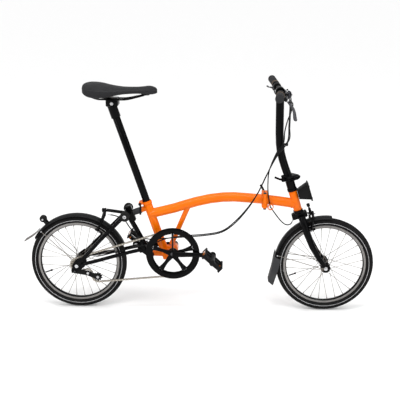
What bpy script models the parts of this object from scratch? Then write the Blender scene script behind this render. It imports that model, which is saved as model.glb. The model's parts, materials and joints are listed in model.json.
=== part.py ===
"""Folding bicycle with small wheels: one named object for each separate piece.

Metres, +X forward, +Y to the rider's left, +Z up. The origin is on the ground, midway along the bicycle.
The bicycle stands as ridden, with its right crank pointing forward.
"""

from math import acos, atan2, cos, pi, radians, sin, sqrt

import bmesh
import bpy
from mathutils import Matrix, Vector

# Driving dimensions
WHEELBASE = 1.060
REAR_X = -0.523
WHEEL_R = 0.208
TYRE_R = 0.017
RIM_OUTER = 0.1765
RIM_INNER = 0.1635
RIM_HALF = 0.0100
SPOKES = 28
WHEEL_SIDES = 32
GUARD_R = 0.2165
GUARD_HALF = 0.022
GAP = 0.0003

FRONT_X = REAR_X + WHEELBASE
REAR_AXLE = Vector((REAR_X, 0, WHEEL_R))
FRONT_AXLE = Vector((FRONT_X, 0, WHEEL_R))
CRANK_AXIS = Vector((-0.112, 0, 0.266))
REAR_PIVOT = Vector((-0.208, 0, 0.250))
CRANK_LENGTH = 0.170

SEAT_TILT = radians(18.4)
SEAT_UP = Vector((-sin(SEAT_TILT), 0, cos(SEAT_TILT)))
SEAT_POINT = Vector((-0.224, 0, 0.482))
SEAT_TUBE_R = 0.018
SEATPOST_R = 0.0159

HEAD_TILT = radians(17)
STEER_UP = Vector((-sin(HEAD_TILT), 0, cos(HEAD_TILT)))
STEER_FORWARD = Vector((cos(HEAD_TILT), 0, sin(HEAD_TILT)))
STEER_POINT = Vector((0.391, 0, 0.531))
HEAD_TUBE_R = 0.018
HEAD_LOW, HEAD_HIGH = -0.0826, 0.0030
STEERER_R = 0.0127

MAIN_TUBE_R = 0.0205
HINGE_X = 0.274
HINGE_PIN = Vector((HINGE_X, -0.030, 0))
HINGE_LOW, HINGE_HIGH = 0.466, 0.527
KNUCKLE_R = 0.0085
PIN_R = 0.004

STEM_SPLIT_Z = 0.590
STEM_FOLD_OUT = Vector((sqrt(0.5), sqrt(0.5), 0))
STEM_FOLD_AXIS = Vector((-sqrt(0.5), sqrt(0.5), 0))
STEM_CENTRE = Vector((0.3730, 0, STEM_SPLIT_Z))
STEM_PIN_OFFSET = 0.042
STEM_PIN = STEM_CENTRE + STEM_FOLD_OUT * STEM_PIN_OFFSET

BAR_CENTRE = Vector((0.327, 0, 0.950))
BAR_R = 0.0111
BAR_HALF = 0.280
GRIP_INNER = 0.160
LEVER_AXIS = Vector((0.66, 0, 0.75)).normalized()

CHAINLINE = -0.047
CHAINRING_R = 0.0975
GUARD_RING_R = 0.1145
SPROCKET_R = 0.0266
JOCKEY_R = 0.0190
CHAIN_THICK = 0.008
TENSIONER_PIVOT = Vector((-0.533, -0.056, 0.183))
JOCKEY = Vector((-0.436, CHAINLINE, 0.155))
GUIDE_WHEEL = Vector((-0.478, CHAINLINE, 0.172))

# The rubber spring runs back and down from a stop on the seat tube to the rear frame
SPRING_LINE = Vector((-0.94, 0, -0.342)).normalized()
SPRING_ROOT = Vector((-0.2155, 0, 0.4555))
SPRING_STOP = SPRING_ROOT + SPRING_LINE * 0.034
SPRING_LENGTH = 0.036
BRACKET_THICK = 0.026
BRACKET = SPRING_STOP + SPRING_LINE * (SPRING_LENGTH + GAP + BRACKET_THICK / 2)
ROLLER_AXIS = Vector((-0.3110, 0, 0.4320))
GUARD_ROLLER = Vector((REAR_X - 0.1470, 0, 0.3990))
PEDAL_TURN = 42
SCOOP_HALF = 0.0265
SCOOP_ROWS = [
    (0.3239, 0.2651, 0.3268, 0.2643),
    (0.3198, 0.2487, 0.3227, 0.2481),
    (0.3188, 0.2440, 0.3290, 0.2424),
    (0.3172, 0.2370, 0.3478, 0.2330),
    (0.3105, 0.1950, 0.3400, 0.1890),
    (0.3020, 0.1600, 0.3280, 0.1490),
    (0.2955, 0.1330, 0.3175, 0.1140),
]
COLLAR_Z = 0.4755

ORANGE = (1.0, 0.156, 0.0)
BLACK = (0.012, 0.012, 0.013)
SATIN = (0.020, 0.020, 0.022)
CHARCOAL = (0.035, 0.035, 0.040)
SILVER = (0.62, 0.62, 0.62)

FINISHES = {
    "orange_paint": (ORANGE, 0.25, 0.0),
    "black_paint": (BLACK, 0.28, 0.0),
    "black_plastic": (SATIN, 0.5, 0.0),
    "rubber": (SATIN, 0.8, 0.0),
    "tyre": (SATIN, 0.85, 0.0),
    "steel": (SILVER, 0.3, 1.0),
    "aluminium": (SILVER, 0.35, 1.0),
    "seat_cover": (CHARCOAL, 0.6, 0.0),
    "chain_steel": ((0.32, 0.29, 0.23), 0.35, 1.0),
    "amber": ((0.9, 0.25, 0.02), 0.3, 0.0),
}


def clear_scene():
    for obj in list(bpy.data.objects):
        bpy.data.objects.remove(obj, do_unlink=True)


def new_collection(name):
    made = bpy.data.collections.new(name)
    bpy.context.scene.collection.children.link(made)
    return made


def material(name, finish):
    """A Principled material of its own for the piece called name."""
    colour, roughness, metallic = FINISHES[finish]
    made = bpy.data.materials.new(name)
    made.use_nodes = True
    shader = made.node_tree.nodes["Principled BSDF"]
    shader.inputs["Base Color"].default_value = (*colour, 1)
    shader.inputs["Roughness"].default_value = roughness
    shader.inputs["Metallic"].default_value = metallic
    return made


def evaluated_mesh(obj):
    graph = bpy.context.evaluated_depsgraph_get()
    return bpy.data.meshes.new_from_object(obj.evaluated_get(graph))


def settle(obj):
    """Replaces obj by a plain mesh object of what its modifiers or its curve make."""
    bpy.context.view_layer.update()
    mesh = evaluated_mesh(obj)
    work = bmesh.new()
    work.from_mesh(mesh)
    bmesh.ops.remove_doubles(work, verts=work.verts, dist=1e-6)
    bmesh.ops.recalc_face_normals(work, faces=work.faces)
    work.transform(obj.matrix_world)
    work.to_mesh(mesh)
    work.free()
    made = bpy.data.objects.new(obj.name, mesh)
    bpy.context.scene.collection.objects.link(made)
    bpy.data.objects.remove(obj, do_unlink=True)
    return made


def boolean(target, others, operation):
    """target with each of others joined to it or cut from it; the others are used up."""
    for other in others:
        step = target.modifiers.new("join_or_cut", "BOOLEAN")
        step.operation = operation
        step.solver = "EXACT"
        step.object = other
        mesh = evaluated_mesh(target)
        target.modifiers.remove(step)
        target.data = mesh
        bpy.data.objects.remove(other, do_unlink=True)
    return target


def join(*pieces):
    return boolean(pieces[0], pieces[1:], "UNION")


def cut(target, *cutters):
    return boolean(target, cutters, "DIFFERENCE")


def aim(direction):
    """The rotation that turns +Z to direction."""
    return Vector(direction).to_track_quat("Z", "Y").to_matrix().to_4x4()


def tube(points, radius, sides=12, radii=None, closed=False):
    """A round tube along points, with flat ends."""
    curve = bpy.data.curves.new("tube", "CURVE")
    curve.dimensions = "3D"
    curve.bevel_depth = radius
    curve.bevel_resolution = sides // 2 - 2
    curve.use_fill_caps = not closed
    spline = curve.splines.new("POLY")
    spline.points.add(len(points) - 1)
    for index, point in enumerate(points):
        spline.points[index].co = (*point, 1)
        if radii:
            spline.points[index].radius = radii[index] / radius
    spline.use_cyclic_u = closed
    obj = bpy.data.objects.new("tube", curve)
    bpy.context.scene.collection.objects.link(obj)
    return settle(obj)


def rod(start, end, radius, sides=16, end_radius=None):
    """A straight round bar from start to end."""
    start, end = Vector(start), Vector(end)
    work = bmesh.new()
    bmesh.ops.create_cone(
        work,
        cap_ends=True,
        segments=sides,
        radius1=radius,
        radius2=radius if end_radius is None else end_radius,
        depth=(end - start).length,
    )
    work.transform(Matrix.Translation((start + end) / 2) @ aim(end - start))
    mesh = bpy.data.meshes.new("rod")
    work.to_mesh(mesh)
    work.free()
    obj = bpy.data.objects.new("rod", mesh)
    bpy.context.scene.collection.objects.link(obj)
    return obj


def block(size, centre, rotation=None, bevel=0.0, segments=1):
    """A box with its edges rounded."""
    work = bmesh.new()
    bmesh.ops.create_cube(work, size=1)
    work.transform(Matrix.Diagonal((*size, 1)))
    mesh = bpy.data.meshes.new("block")
    work.to_mesh(mesh)
    work.free()
    obj = bpy.data.objects.new("block", mesh)
    bpy.context.scene.collection.objects.link(obj)
    obj.matrix_world = Matrix.Translation(centre) @ (rotation or Matrix.Identity(4))
    if bevel:
        edge = obj.modifiers.new("round", "BEVEL")
        edge.width = bevel
        edge.segments = segments
    return settle(obj)


def turned(profile, origin, axis, steps=24):
    """A ring or a knob: the (radius, height) profile turned about axis through origin."""
    mesh = bpy.data.meshes.new("turned")
    count = len(profile)
    edges = [(index, (index + 1) % count) for index in range(count)]
    mesh.from_pydata([(r, 0, h) for r, h in profile], edges, [])
    obj = bpy.data.objects.new("turned", mesh)
    bpy.context.scene.collection.objects.link(obj)
    turn = obj.modifiers.new("turn", "SCREW")
    turn.steps = turn.render_steps = steps
    turn.use_merge_vertices = True
    turn.merge_threshold = 0.00001
    obj.matrix_world = Matrix.Translation(origin) @ aim(axis)
    return settle(obj)


def ring(outer, inner, half, origin, axis=(0, 1, 0), steps=24):
    return turned(
        [(outer, half), (outer, -half), (inner, -half), (inner, half)], origin, axis, steps
    )


def plate(outlines, thickness, centre, rotation=None):
    """A flat plate from closed outlines in its own XY plane; outlines inside the first are holes."""
    curve = bpy.data.curves.new("plate", "CURVE")
    curve.dimensions = "2D"
    curve.fill_mode = "BOTH"
    curve.extrude = thickness / 2
    for outline in outlines:
        spline = curve.splines.new("POLY")
        spline.points.add(len(outline) - 1)
        for index, (x, y) in enumerate(outline):
            spline.points[index].co = (x, y, 0, 1)
        spline.use_cyclic_u = True
    obj = bpy.data.objects.new("plate", curve)
    bpy.context.scene.collection.objects.link(obj)
    obj.matrix_world = Matrix.Translation(centre) @ (rotation or Matrix.Identity(4))
    return settle(obj)


SIDE_VIEW = Matrix(((1, 0, 0, 0), (0, 0, -1, 0), (0, 1, 0, 0), (0, 0, 0, 1)))


def side_plate(outlines, thickness, y):
    """A plate that stands in the XZ plane at y; its outlines are (x, z) points."""
    return plate(outlines, thickness, (0, y, 0), SIDE_VIEW)


def arc(centre, radius, start, end, count):
    """Points in the XZ plane from angle start to end, in degrees."""
    angles = [radians(start + (end - start) * k / (count - 1)) for k in range(count)]
    return [(centre[0] + radius * cos(a), centre[1] + radius * sin(a)) for a in angles]


def capsule_outline(a, b, ra, rb, count=9):
    """The outline round two circles in a plane, of radii ra and rb."""
    angle = atan2(b[1] - a[1], b[0] - a[0]) * 180 / pi
    return arc(a, ra, angle + 90, angle + 270, count) + arc(b, rb, angle - 90, angle + 90, count)


def finish(name, obj, finish_name, collection, origin=None, smooth=40):
    """Names the piece, gives it its own material, and puts its origin on its joint or its middle."""
    obj.name = name
    obj.data.name = name
    for other in list(obj.users_collection):
        other.objects.unlink(obj)
    collection.objects.link(obj)
    obj.data.materials.clear()
    obj.data.materials.append(material(name, finish_name))
    for face in obj.data.polygons:
        face.material_index = 0
    if origin is not None:
        obj.data.transform(Matrix.Translation(-Vector(origin)))
        obj.matrix_world = Matrix.Translation(origin)
    obj.data.shade_smooth()
    obj.data.set_sharp_from_angle(angle=radians(smooth))
    return obj


def seat_line(z, forward=0.0, y=0.0):
    """A point at height z on the line of the seat tube."""
    rise = (z - SEAT_POINT.z) / SEAT_UP.z
    return SEAT_POINT + SEAT_UP * rise + Vector((forward, y, 0))


def steer_line(s, forward=0.0, y=0.0):
    """A point at distance s along the steering axis from its reference point."""
    return STEER_POINT + STEER_UP * s + STEER_FORWARD * forward + Vector((0, y, 0))


def mirrored(point):
    return Vector((point[0], -point[1], point[2]))


# The middle of the main frame tube, from the seat tube to the head tube
ARCH = [
    (-0.210, 0.4270),
    (-0.160, 0.4390),
    (-0.106, 0.4530),
    (-0.060, 0.4680),
    (-0.010, 0.4830),
    (0.046, 0.4960),
    (0.100, 0.5030),
    (0.147, 0.5045),
    (0.200, 0.5010),
    (0.268, 0.4960),
    (0.330, 0.4890),
    (0.400, 0.4790),
]


def hinge_plate(low_x, high_x):
    middle = ((low_x + high_x) / 2, 0.0005, (HINGE_LOW + HINGE_HIGH) / 2)
    size = (high_x - low_x, 0.060, HINGE_HIGH - HINGE_LOW)
    return block(size, middle, None, 0.002)


def hinge_knuckle(low, high):
    return rod((HINGE_X, HINGE_PIN.y, low), (HINGE_X, HINGE_PIN.y, high), KNUCKLE_R, 20)


def hinge_relief(low, high):
    return rod((HINGE_X, HINGE_PIN.y, low), (HINGE_X, HINGE_PIN.y, high), KNUCKLE_R + 0.001, 20)


def pin_bore():
    return rod((HINGE_X, HINGE_PIN.y, 0.43), (HINGE_X, HINGE_PIN.y, 0.56), PIN_R + GAP, 16)


def main_frame(parts):
    """Rear half of the main tube, seat tube, gusset strut, crank housing and rear pivot housing."""
    low, high = seat_line(0.228), seat_line(0.483)
    frame = tube([(x, 0, z) for x, z in ARCH if x < HINGE_X], MAIN_TUBE_R, 16)
    strut = rod((-0.045, 0, 0.468), (-0.120, 0, 0.292), 0.011)
    shell = rod((CRANK_AXIS.x, -0.034, CRANK_AXIS.z), (CRANK_AXIS.x, 0.034, CRANK_AXIS.z), 0.0205, 24)
    web = block((0.030, 0.024, 0.030), (-0.134, 0, 0.270), None, 0.003)
    housing = rod(REAR_PIVOT + Vector((0, -0.020, 0)), REAR_PIVOT + Vector((0, 0.020, 0)), 0.0145, 20)
    arm = rod(REAR_PIVOT, (-0.140, 0, 0.247), 0.0130)
    stop = rod(SPRING_ROOT, SPRING_STOP, 0.0120)
    seat = rod(low, high, SEAT_TUBE_R, 24)
    join(frame, seat, strut, shell, web, housing, arm, stop)
    join(frame, hinge_plate(0.2615, HINGE_X - GAP))
    for bottom, top in ((HINGE_LOW, 0.4818), (0.5112, HINGE_HIGH)):
        join(frame, hinge_knuckle(bottom, top))
    cut(frame, hinge_relief(0.4818, 0.5112))
    cut(frame, pin_bore())
    cut(frame, rod(seat_line(0.20), seat_line(0.50), SEATPOST_R + 0.0004, 24))
    bore = Vector((0, 0.05, 0))
    cut(frame, rod(CRANK_AXIS - bore, CRANK_AXIS + bore, 0.0172, 24))
    cut(frame, rod(REAR_PIVOT - bore, REAR_PIVOT + bore, 0.0055, 16))
    finish("main_frame", frame, "orange_paint", parts)


def front_frame(parts):
    """Front half of the main tube, with the head tube and the wire guide ring."""
    front = tube([(x, 0, z) for x, z in ARCH if x > 0.26], MAIN_TUBE_R, 16)
    cut(front, block((0.05, 0.2, 0.2), (HINGE_X - 0.025 + 0.001, 0, 0.49)))
    head = rod(steer_line(HEAD_LOW), steer_line(HEAD_HIGH), HEAD_TUBE_R, 24)
    guide = tube(
        [(x, -0.006, z) for x, z in arc((0.299, 0.4615), 0.0120, 0, 330, 12)], 0.0014, 6, closed=True
    )
    join(front, head, guide, hinge_plate(HINGE_X + GAP, 0.2865))
    join(front, hinge_knuckle(0.4822, 0.5108))
    cut(front, hinge_relief(0.45, 0.4821), hinge_relief(0.5109, 0.54))
    cut(front, pin_bore())
    cut(front, rod(steer_line(-0.15), steer_line(0.05), STEERER_R + 0.001, 24))
    finish("front_frame", front, "orange_paint", parts, HINGE_PIN + Vector((0, 0, 0.4965)))

    pin = rod((HINGE_X, HINGE_PIN.y, 0.4625), (HINGE_X, HINGE_PIN.y, 0.5295), PIN_R, 16)
    join(pin, rod((HINGE_X, HINGE_PIN.y, 0.460), (HINGE_X, HINGE_PIN.y, HINGE_LOW - GAP), 0.0065, 16))
    finish("hinge_pin", pin, "steel", parts)


def lever(pivot, axis, hub_r, hub_half, tip, bend, thickness):
    """A hand lever: a round hub on its pivot and an arm that ends in a rounded tip."""
    pivot, axis = Vector(pivot), Vector(axis).normalized()
    hub = rod(pivot - axis * hub_half, pivot + axis * hub_half, hub_r, 16)
    arm = tube([pivot, Vector(bend), Vector(tip)], thickness, 8)
    return join(hub, arm)


def hinge_and_seat_clamps(parts):
    clamp = block((0.026, 0.010, 0.034), (HINGE_X, 0.0365, 0.4965), None, 0.002)
    finish("hinge_clamp", clamp, "black_paint", parts)
    handle = lever(
        (HINGE_X, 0.0475, 0.4965),
        (0, 1, 0),
        0.009,
        0.0055,
        (0.258, 0.0485, 0.545),
        (0.270, 0.0485, 0.524),
        0.0050,
    )
    finish("hinge_clamp_lever", handle, "black_paint", parts, (HINGE_X, 0.0475, 0.4965))

    up = SEAT_UP
    collar = ring(0.0205, SEAT_TUBE_R + GAP, 0.0060, seat_line(COLLAR_Z), up, 24)
    lean = Matrix.Rotation(-SEAT_TILT, 4, "Y")
    ears = block((0.018, 0.042, 0.0110), seat_line(COLLAR_Z, -0.026), lean, 0.0015)
    join(collar, ears)
    cut(collar, rod(seat_line(0.44), seat_line(0.50), SEAT_TUBE_R + GAP, 24))
    finish("seat_clamp", collar, "orange_paint", parts)
    centre = seat_line(COLLAR_Z, -0.029, -0.0265)
    down = Vector((0.002, -0.002, -0.045))
    bend = centre + Vector((0.004, -0.002, -0.012))
    handle = lever(centre, (0, 1, 0), 0.0060, 0.0040, centre + down, bend, 0.0042)
    finish("seat_clamp_lever", handle, "black_plastic", parts, centre)


def crank_bearing(parts):
    cartridge = ring(0.0168, 0.0088, 0.0335, CRANK_AXIS)
    finish("bottom_bracket", cartridge, "steel", parts)


def headset(parts):
    low, high = HEAD_HIGH + GAP, 0.0150
    cup = ring(0.0205, STEERER_R + 0.0006, (high - low) / 2, steer_line((low + high) / 2), STEER_UP)
    finish("headset_bearing", cup, "black_paint", parts)


def carrier_block(parts):
    """Front luggage mounting block: a solid wedge on the head tube, with a flat front face."""
    outline = [
        steer_line(-0.0340, HEAD_TUBE_R + 0.0005),
        steer_line(-0.0440, 0.0480),
        steer_line(-0.0510, 0.0670),
        steer_line(0.0180, 0.0670),
        steer_line(0.0130, 0.0520),
        steer_line(0.0020, 0.0240),
        steer_line(0.0020, HEAD_TUBE_R + 0.0005),
    ]
    wedge = side_plate([[(point.x, point.z) for point in outline]], 0.050, 0)
    flange_centre = steer_line(-0.0170, 0.0680)
    flange = block((0.007, 0.066, 0.076), flange_centre, Matrix.Rotation(-HEAD_TILT, 4, "Y"), 0.002)
    join(wedge, flange)
    finish("carrier_block", wedge, "black_plastic", parts)


def wheel(parts, prefix, axle, hub_half, flange_half):
    """Tyre, rim and hub with its spokes, each turned about the axle."""
    section = [
        (axle_r, y)
        for axle_r, y in [
            (WHEEL_R - TYRE_R + TYRE_R * cos(radians(a)), TYRE_R * sin(radians(a)))
            for a in range(135, -136, -45)
        ]
    ]
    seat = [(RIM_OUTER + GAP, -RIM_HALF * 0.8), (RIM_OUTER + GAP, RIM_HALF * 0.8)]
    tyre = turned(section + seat, axle, (0, 1, 0), WHEEL_SIDES)
    finish(prefix + "_tyre", tyre, "tyre", parts, axle)
    rim_profile = [
        (RIM_OUTER, RIM_HALF * 0.75),
        (RIM_OUTER, -RIM_HALF * 0.75),
        (RIM_OUTER - 0.004, -RIM_HALF),
        (RIM_INNER, -RIM_HALF * 0.6),
        (RIM_INNER, RIM_HALF * 0.6),
        (RIM_OUTER - 0.004, RIM_HALF),
    ]
    rim = turned(rim_profile, axle, (0, 1, 0), WHEEL_SIDES)
    finish(prefix + "_rim", rim, "aluminium", parts, axle)
    flange = 0.0045
    hub_profile = [
        (0.0200, flange_half),
        (0.0200, flange_half - flange),
        (0.0130, flange_half - 2 * flange),
        (0.0130, -flange_half + 2 * flange),
        (0.0200, -flange_half + flange),
        (0.0200, -flange_half),
        (0.0085, -flange_half - 0.002),
        (0.0085, -hub_half),
        (0.0046, -hub_half),
        (0.0046, hub_half),
        (0.0085, hub_half),
        (0.0085, flange_half + 0.002),
    ]
    hub = turned(hub_profile, axle, (0, 1, 0), 14)
    for spoke in range(SPOKES):
        side = 1 if spoke % 2 else -1
        lean = 55 if (spoke // 2) % 2 else -55
        end_angle = radians(360 / SPOKES * (spoke + 0.5))
        hub_angle = end_angle + radians(lean)
        hub_y = side * (flange_half - flange / 2)
        hub_end = Vector((0.0172 * cos(hub_angle), hub_y, 0.0172 * sin(hub_angle)))
        reach = RIM_INNER * 0.992
        rim_end = Vector((reach * cos(end_angle), 0, reach * sin(end_angle)))
        join(hub, rod(axle + hub_end, axle + rim_end, 0.0012, 3))
    finish(prefix + "_hub", hub, "steel", parts, axle)


def mudguard(axle, start, end, count):
    """A curved strip over a wheel, in the shape of a shallow channel."""
    work = bmesh.new()
    across = [(-GUARD_HALF, -0.0070), (-0.014, -0.0015), (0, 0), (0.014, -0.0015), (GUARD_HALF, -0.0070)]
    rows = []
    for step in range(count):
        angle = radians(start + (end - start) * step / (count - 1))
        row = []
        for y, drop in across:
            radius = GUARD_R + drop
            row.append(work.verts.new((axle.x + radius * cos(angle), y, axle.z + radius * sin(angle))))
        rows.append(row)
    for first, second in zip(rows, rows[1:]):
        for k in range(len(across) - 1):
            work.faces.new((first[k], first[k + 1], second[k + 1], second[k]))
    bmesh.ops.recalc_face_normals(work, faces=work.faces)
    mesh = bpy.data.meshes.new("guard")
    work.to_mesh(mesh)
    work.free()
    obj = bpy.data.objects.new("guard", mesh)
    bpy.context.scene.collection.objects.link(obj)
    thick = obj.modifiers.new("thick", "SOLIDIFY")
    thick.thickness = 0.0016
    thick.offset = 0
    return settle(obj)


def stay(axle, angle, y, hub_y):
    """A wire that holds a mudguard, from the wheel's axle end to the guard's edge."""
    way = Vector((cos(radians(angle)), 0, sin(radians(angle))))
    edge = axle + way * (GUARD_R - 0.006) + Vector((0, y, 0))
    near = axle + way * 0.014 + Vector((0, hub_y, 0))
    return tube([near, edge], 0.0016, 6)


def flap(axle, start, end, width, thickness):
    """A flap that continues a mudguard's curve, leaning a little away from the wheel."""
    inside, outside = [], []
    for k in range(5):
        angle = radians(start + (end - start) * k / 4)
        radius = GUARD_R + 0.0015 + 0.030 * (k / 4) ** 2
        inside.append((axle.x + radius * cos(angle), axle.z + radius * sin(angle)))
        radius += thickness
        outside.append((axle.x + radius * cos(angle), axle.z + radius * sin(angle)))
    return side_plate([inside + outside[::-1]], width, 0)


def scoop_flap(rows, half, thickness):
    """A flap with side walls, from rows of (back point, front edge of the side walls) in the side view."""
    work = bmesh.new()
    rings = []
    for back_x, back_z, edge_x, edge_z in rows:
        back = Vector((back_x, 0, back_z))
        reach = Vector((edge_x, 0, edge_z)) - back
        wall = back + reach.normalized() * thickness
        edge = back + reach
        inner = half - thickness
        loop = [(edge, -half), (back, -half), (back, half), (edge, half)]
        loop += [(edge, inner), (wall, inner), (wall, -inner), (edge, -inner)]
        rings.append([work.verts.new(point + Vector((0, y, 0))) for point, y in loop])
    for first, second in zip(rings, rings[1:]):
        for k in range(8):
            follow = (k + 1) % 8
            work.faces.new((first[k], first[follow], second[follow], second[k]))
    for ring_verts in (rings[0], rings[-1]):
        for a, b, c, d in ((0, 1, 6, 7), (1, 2, 5, 6), (2, 3, 4, 5)):
            work.faces.new((ring_verts[a], ring_verts[b], ring_verts[c], ring_verts[d]))
    bmesh.ops.recalc_face_normals(work, faces=work.faces)
    mesh = bpy.data.meshes.new("scoop")
    work.to_mesh(mesh)
    work.free()
    obj = bpy.data.objects.new("scoop", mesh)
    bpy.context.scene.collection.objects.link(obj)
    return obj


def guards(parts):
    front = mudguard(FRONT_AXLE, 84, 176, 17)
    for side in (-1, 1):
        join(front, stay(FRONT_AXLE, 168, side * (GUARD_HALF - 0.0005), side * 0.0710))
    finish("front_mudguard", front, "black_plastic", parts)
    scoop = scoop_flap(SCOOP_ROWS, SCOOP_HALF, 0.0025)
    finish("front_mudflap", scoop, "rubber", parts)
    rear = mudguard(REAR_AXLE, 22, 150, 21)
    for side in (-1, 1):
        join(rear, stay(REAR_AXLE, 138, side * (GUARD_HALF - 0.0005), side * 0.0400))
        tab_spot = GUARD_ROLLER.lerp(REAR_AXLE, 0.055) + Vector((0, side * 0.0145, 0))
        join(rear, block((0.010, 0.004, 0.034), tab_spot, Matrix.Rotation(radians(-38), 4, "Y")))
    join(rear, rod(GUARD_ROLLER - Vector((0, 0.016, 0)), GUARD_ROLLER + Vector((0, 0.016, 0)), 0.0022, 8))
    finish("rear_mudguard", rear, "black_plastic", parts)
    finish("rear_mudflap", flap(REAR_AXLE, 140, 158, 0.044, 0.003), "rubber", parts)


def fork(parts):
    crown_top = HEAD_LOW - 0.0125
    blade = [
        Vector((0.4290, 0.0290, 0.428)),
        Vector((0.4420, 0.0400, 0.395)),
        Vector((0.4550, 0.0460, 0.355)),
        Vector((0.4770, 0.0470, 0.302)),
        Vector((0.5060, 0.0520, 0.252)),
        Vector((0.5320, 0.0590, 0.218)),
    ]
    crown = block((0.040, 0.066, 0.024), steer_line(crown_top - 0.0125, 0.0005), aim(STEER_UP), 0.004)
    steerer = rod(steer_line(crown_top - 0.010), steer_line(0.050), STEERER_R, 24)
    race = rod(steer_line(crown_top - 0.002), steer_line(HEAD_LOW - GAP), 0.0205, 24)
    join(crown, steerer, race)
    for side in (-1, 1):
        path = [Vector((p.x, side * p.y, p.z)) for p in blade]
        radii = [0.0150, 0.0150, 0.0145, 0.0130, 0.0115, 0.0095]
        join(crown, tube(path, 0.0150, 12, radii))
        tip = capsule_outline((FRONT_X, WHEEL_R), (0.5230, 0.2330), 0.0120, 0.0090, 7)
        join(crown, side_plate([tip], 0.005, side * 0.0515))
    bore = Vector((0, 0.08, 0))
    cut(crown, rod(FRONT_AXLE - bore, FRONT_AXLE + bore, 0.0050, 12))
    join(crown, rod((0.4300, 0, FRONT_BRAKE.z), (FRONT_BRAKE.x + 0.0210, 0, FRONT_BRAKE.z), 0.0032, 12))
    finish("fork", crown, "black_paint", parts, STEER_POINT)


def stem(parts):
    """Folding joint of the handlebar post: a lower plate on the fork and an upper plate on the post."""
    turn = Matrix.Rotation(radians(45), 4, "Z")

    def knuckle(start, end):
        return rod(STEM_PIN + STEM_FOLD_AXIS * start, STEM_PIN + STEM_FOLD_AXIS * end, 0.0075, 16)

    def relief(start, end):
        return rod(STEM_PIN + STEM_FOLD_AXIS * start, STEM_PIN + STEM_FOLD_AXIS * end, 0.0085, 16)

    def half_plate(low, high):
        middle = STEM_CENTRE + STEM_FOLD_OUT * 0.0070
        centre = (middle.x, middle.y, (low + high) / 2)
        return block((0.0690, 0.044, high - low), centre, turn, 0.003)

    def pin_hole():
        return rod(STEM_PIN - STEM_FOLD_AXIS * 0.05, STEM_PIN + STEM_FOLD_AXIS * 0.05, 0.0035 + GAP, 12)

    lower = half_plate(0.5785, STEM_SPLIT_Z - GAP)
    neck = rod(steer_line(0.0153), steer_line(0.0530), 0.0190, 24)
    cut(neck, block((0.2, 0.2, 0.1), (0.37, 0, 0.5840 + 0.05)))
    join(lower, neck)
    join(lower, knuckle(-0.0212, -0.0105), knuckle(0.0105, 0.0212))
    cut(lower, relief(-0.0103, 0.0103))
    cut(lower, rod(steer_line(0.0), steer_line(0.0503), STEERER_R + GAP, 24))
    join(lower, rod(STEM_PIN - STEM_FOLD_AXIS * 0.0235, STEM_PIN + STEM_FOLD_AXIS * 0.0235, 0.0035, 12))
    finish("stem_base", lower, "black_paint", parts)

    upper = half_plate(STEM_SPLIT_Z + GAP, 0.6015)
    post = [
        (0.3700, 0.5980),
        (0.3550, 0.6370),
        (0.3448, 0.6680),
        (0.3362, 0.7000),
        (0.3315, 0.7350),
        (0.3290, 0.7800),
        (0.3276, 0.9000),
        (0.3270, 0.9400),
    ]
    join(upper, tube([(x, 0, z) for x, z in post], 0.0170, 14))
    join(upper, knuckle(-0.0100, 0.0100))
    cut(upper, relief(-0.05, -0.0102), relief(0.0102, 0.05), pin_hole())
    join(upper, rod(BAR_CENTRE - Vector((0, 0.020, 0)), BAR_CENTRE + Vector((0, 0.020, 0)), 0.0195, 20))
    cut(upper, rod(BAR_CENTRE - Vector((0, 0.05, 0)), BAR_CENTRE + Vector((0, 0.05, 0)), 0.0127 + GAP, 20))

    centre = STEM_CENTRE - STEM_FOLD_OUT * 0.0330 + Vector((0, 0, -0.004))
    handle = lever(
        centre,
        STEM_FOLD_OUT,
        0.0085,
        0.0050,
        centre - STEM_FOLD_OUT * 0.006 + STEM_FOLD_AXIS * 0.042 + Vector((0, 0, 0.004)),
        centre - STEM_FOLD_OUT * 0.003 + STEM_FOLD_AXIS * 0.018,
        0.0048,
    )
    finish("stem_clamp_lever", handle, "black_paint", parts, centre)
    knob = rod((0.3420, 0, 0.7330), (0.3590, 0, 0.7330), 0.0040, 12)
    head = [
        (0.0, 0.004),
        (0.0060, 0.0035),
        (0.0090, 0.000),
        (0.0090, -0.003),
        (0.0055, -0.0055),
        (0.0, -0.006),
    ]
    join(knob, turned(head, (0.3620, 0, 0.7330), (1, 0, 0), 16))
    join(upper, knob)
    finish("handlepost", upper, "black_paint", parts, STEM_PIN)


def bar_point(y):
    """The middle of the handlebar at distance y from its centre, with its slight rise and sweep."""
    out = max(0.0, abs(y) - 0.045) / (BAR_HALF - 0.045)
    return Vector((BAR_CENTRE.x - 0.020 * out, y, BAR_CENTRE.z + 0.014 * out))


def bar_ring(y, outer, inner, half):
    direction = bar_point(y + 0.002) - bar_point(y - 0.002)
    return ring(outer, inner, half, bar_point(y), direction, 16)


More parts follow.
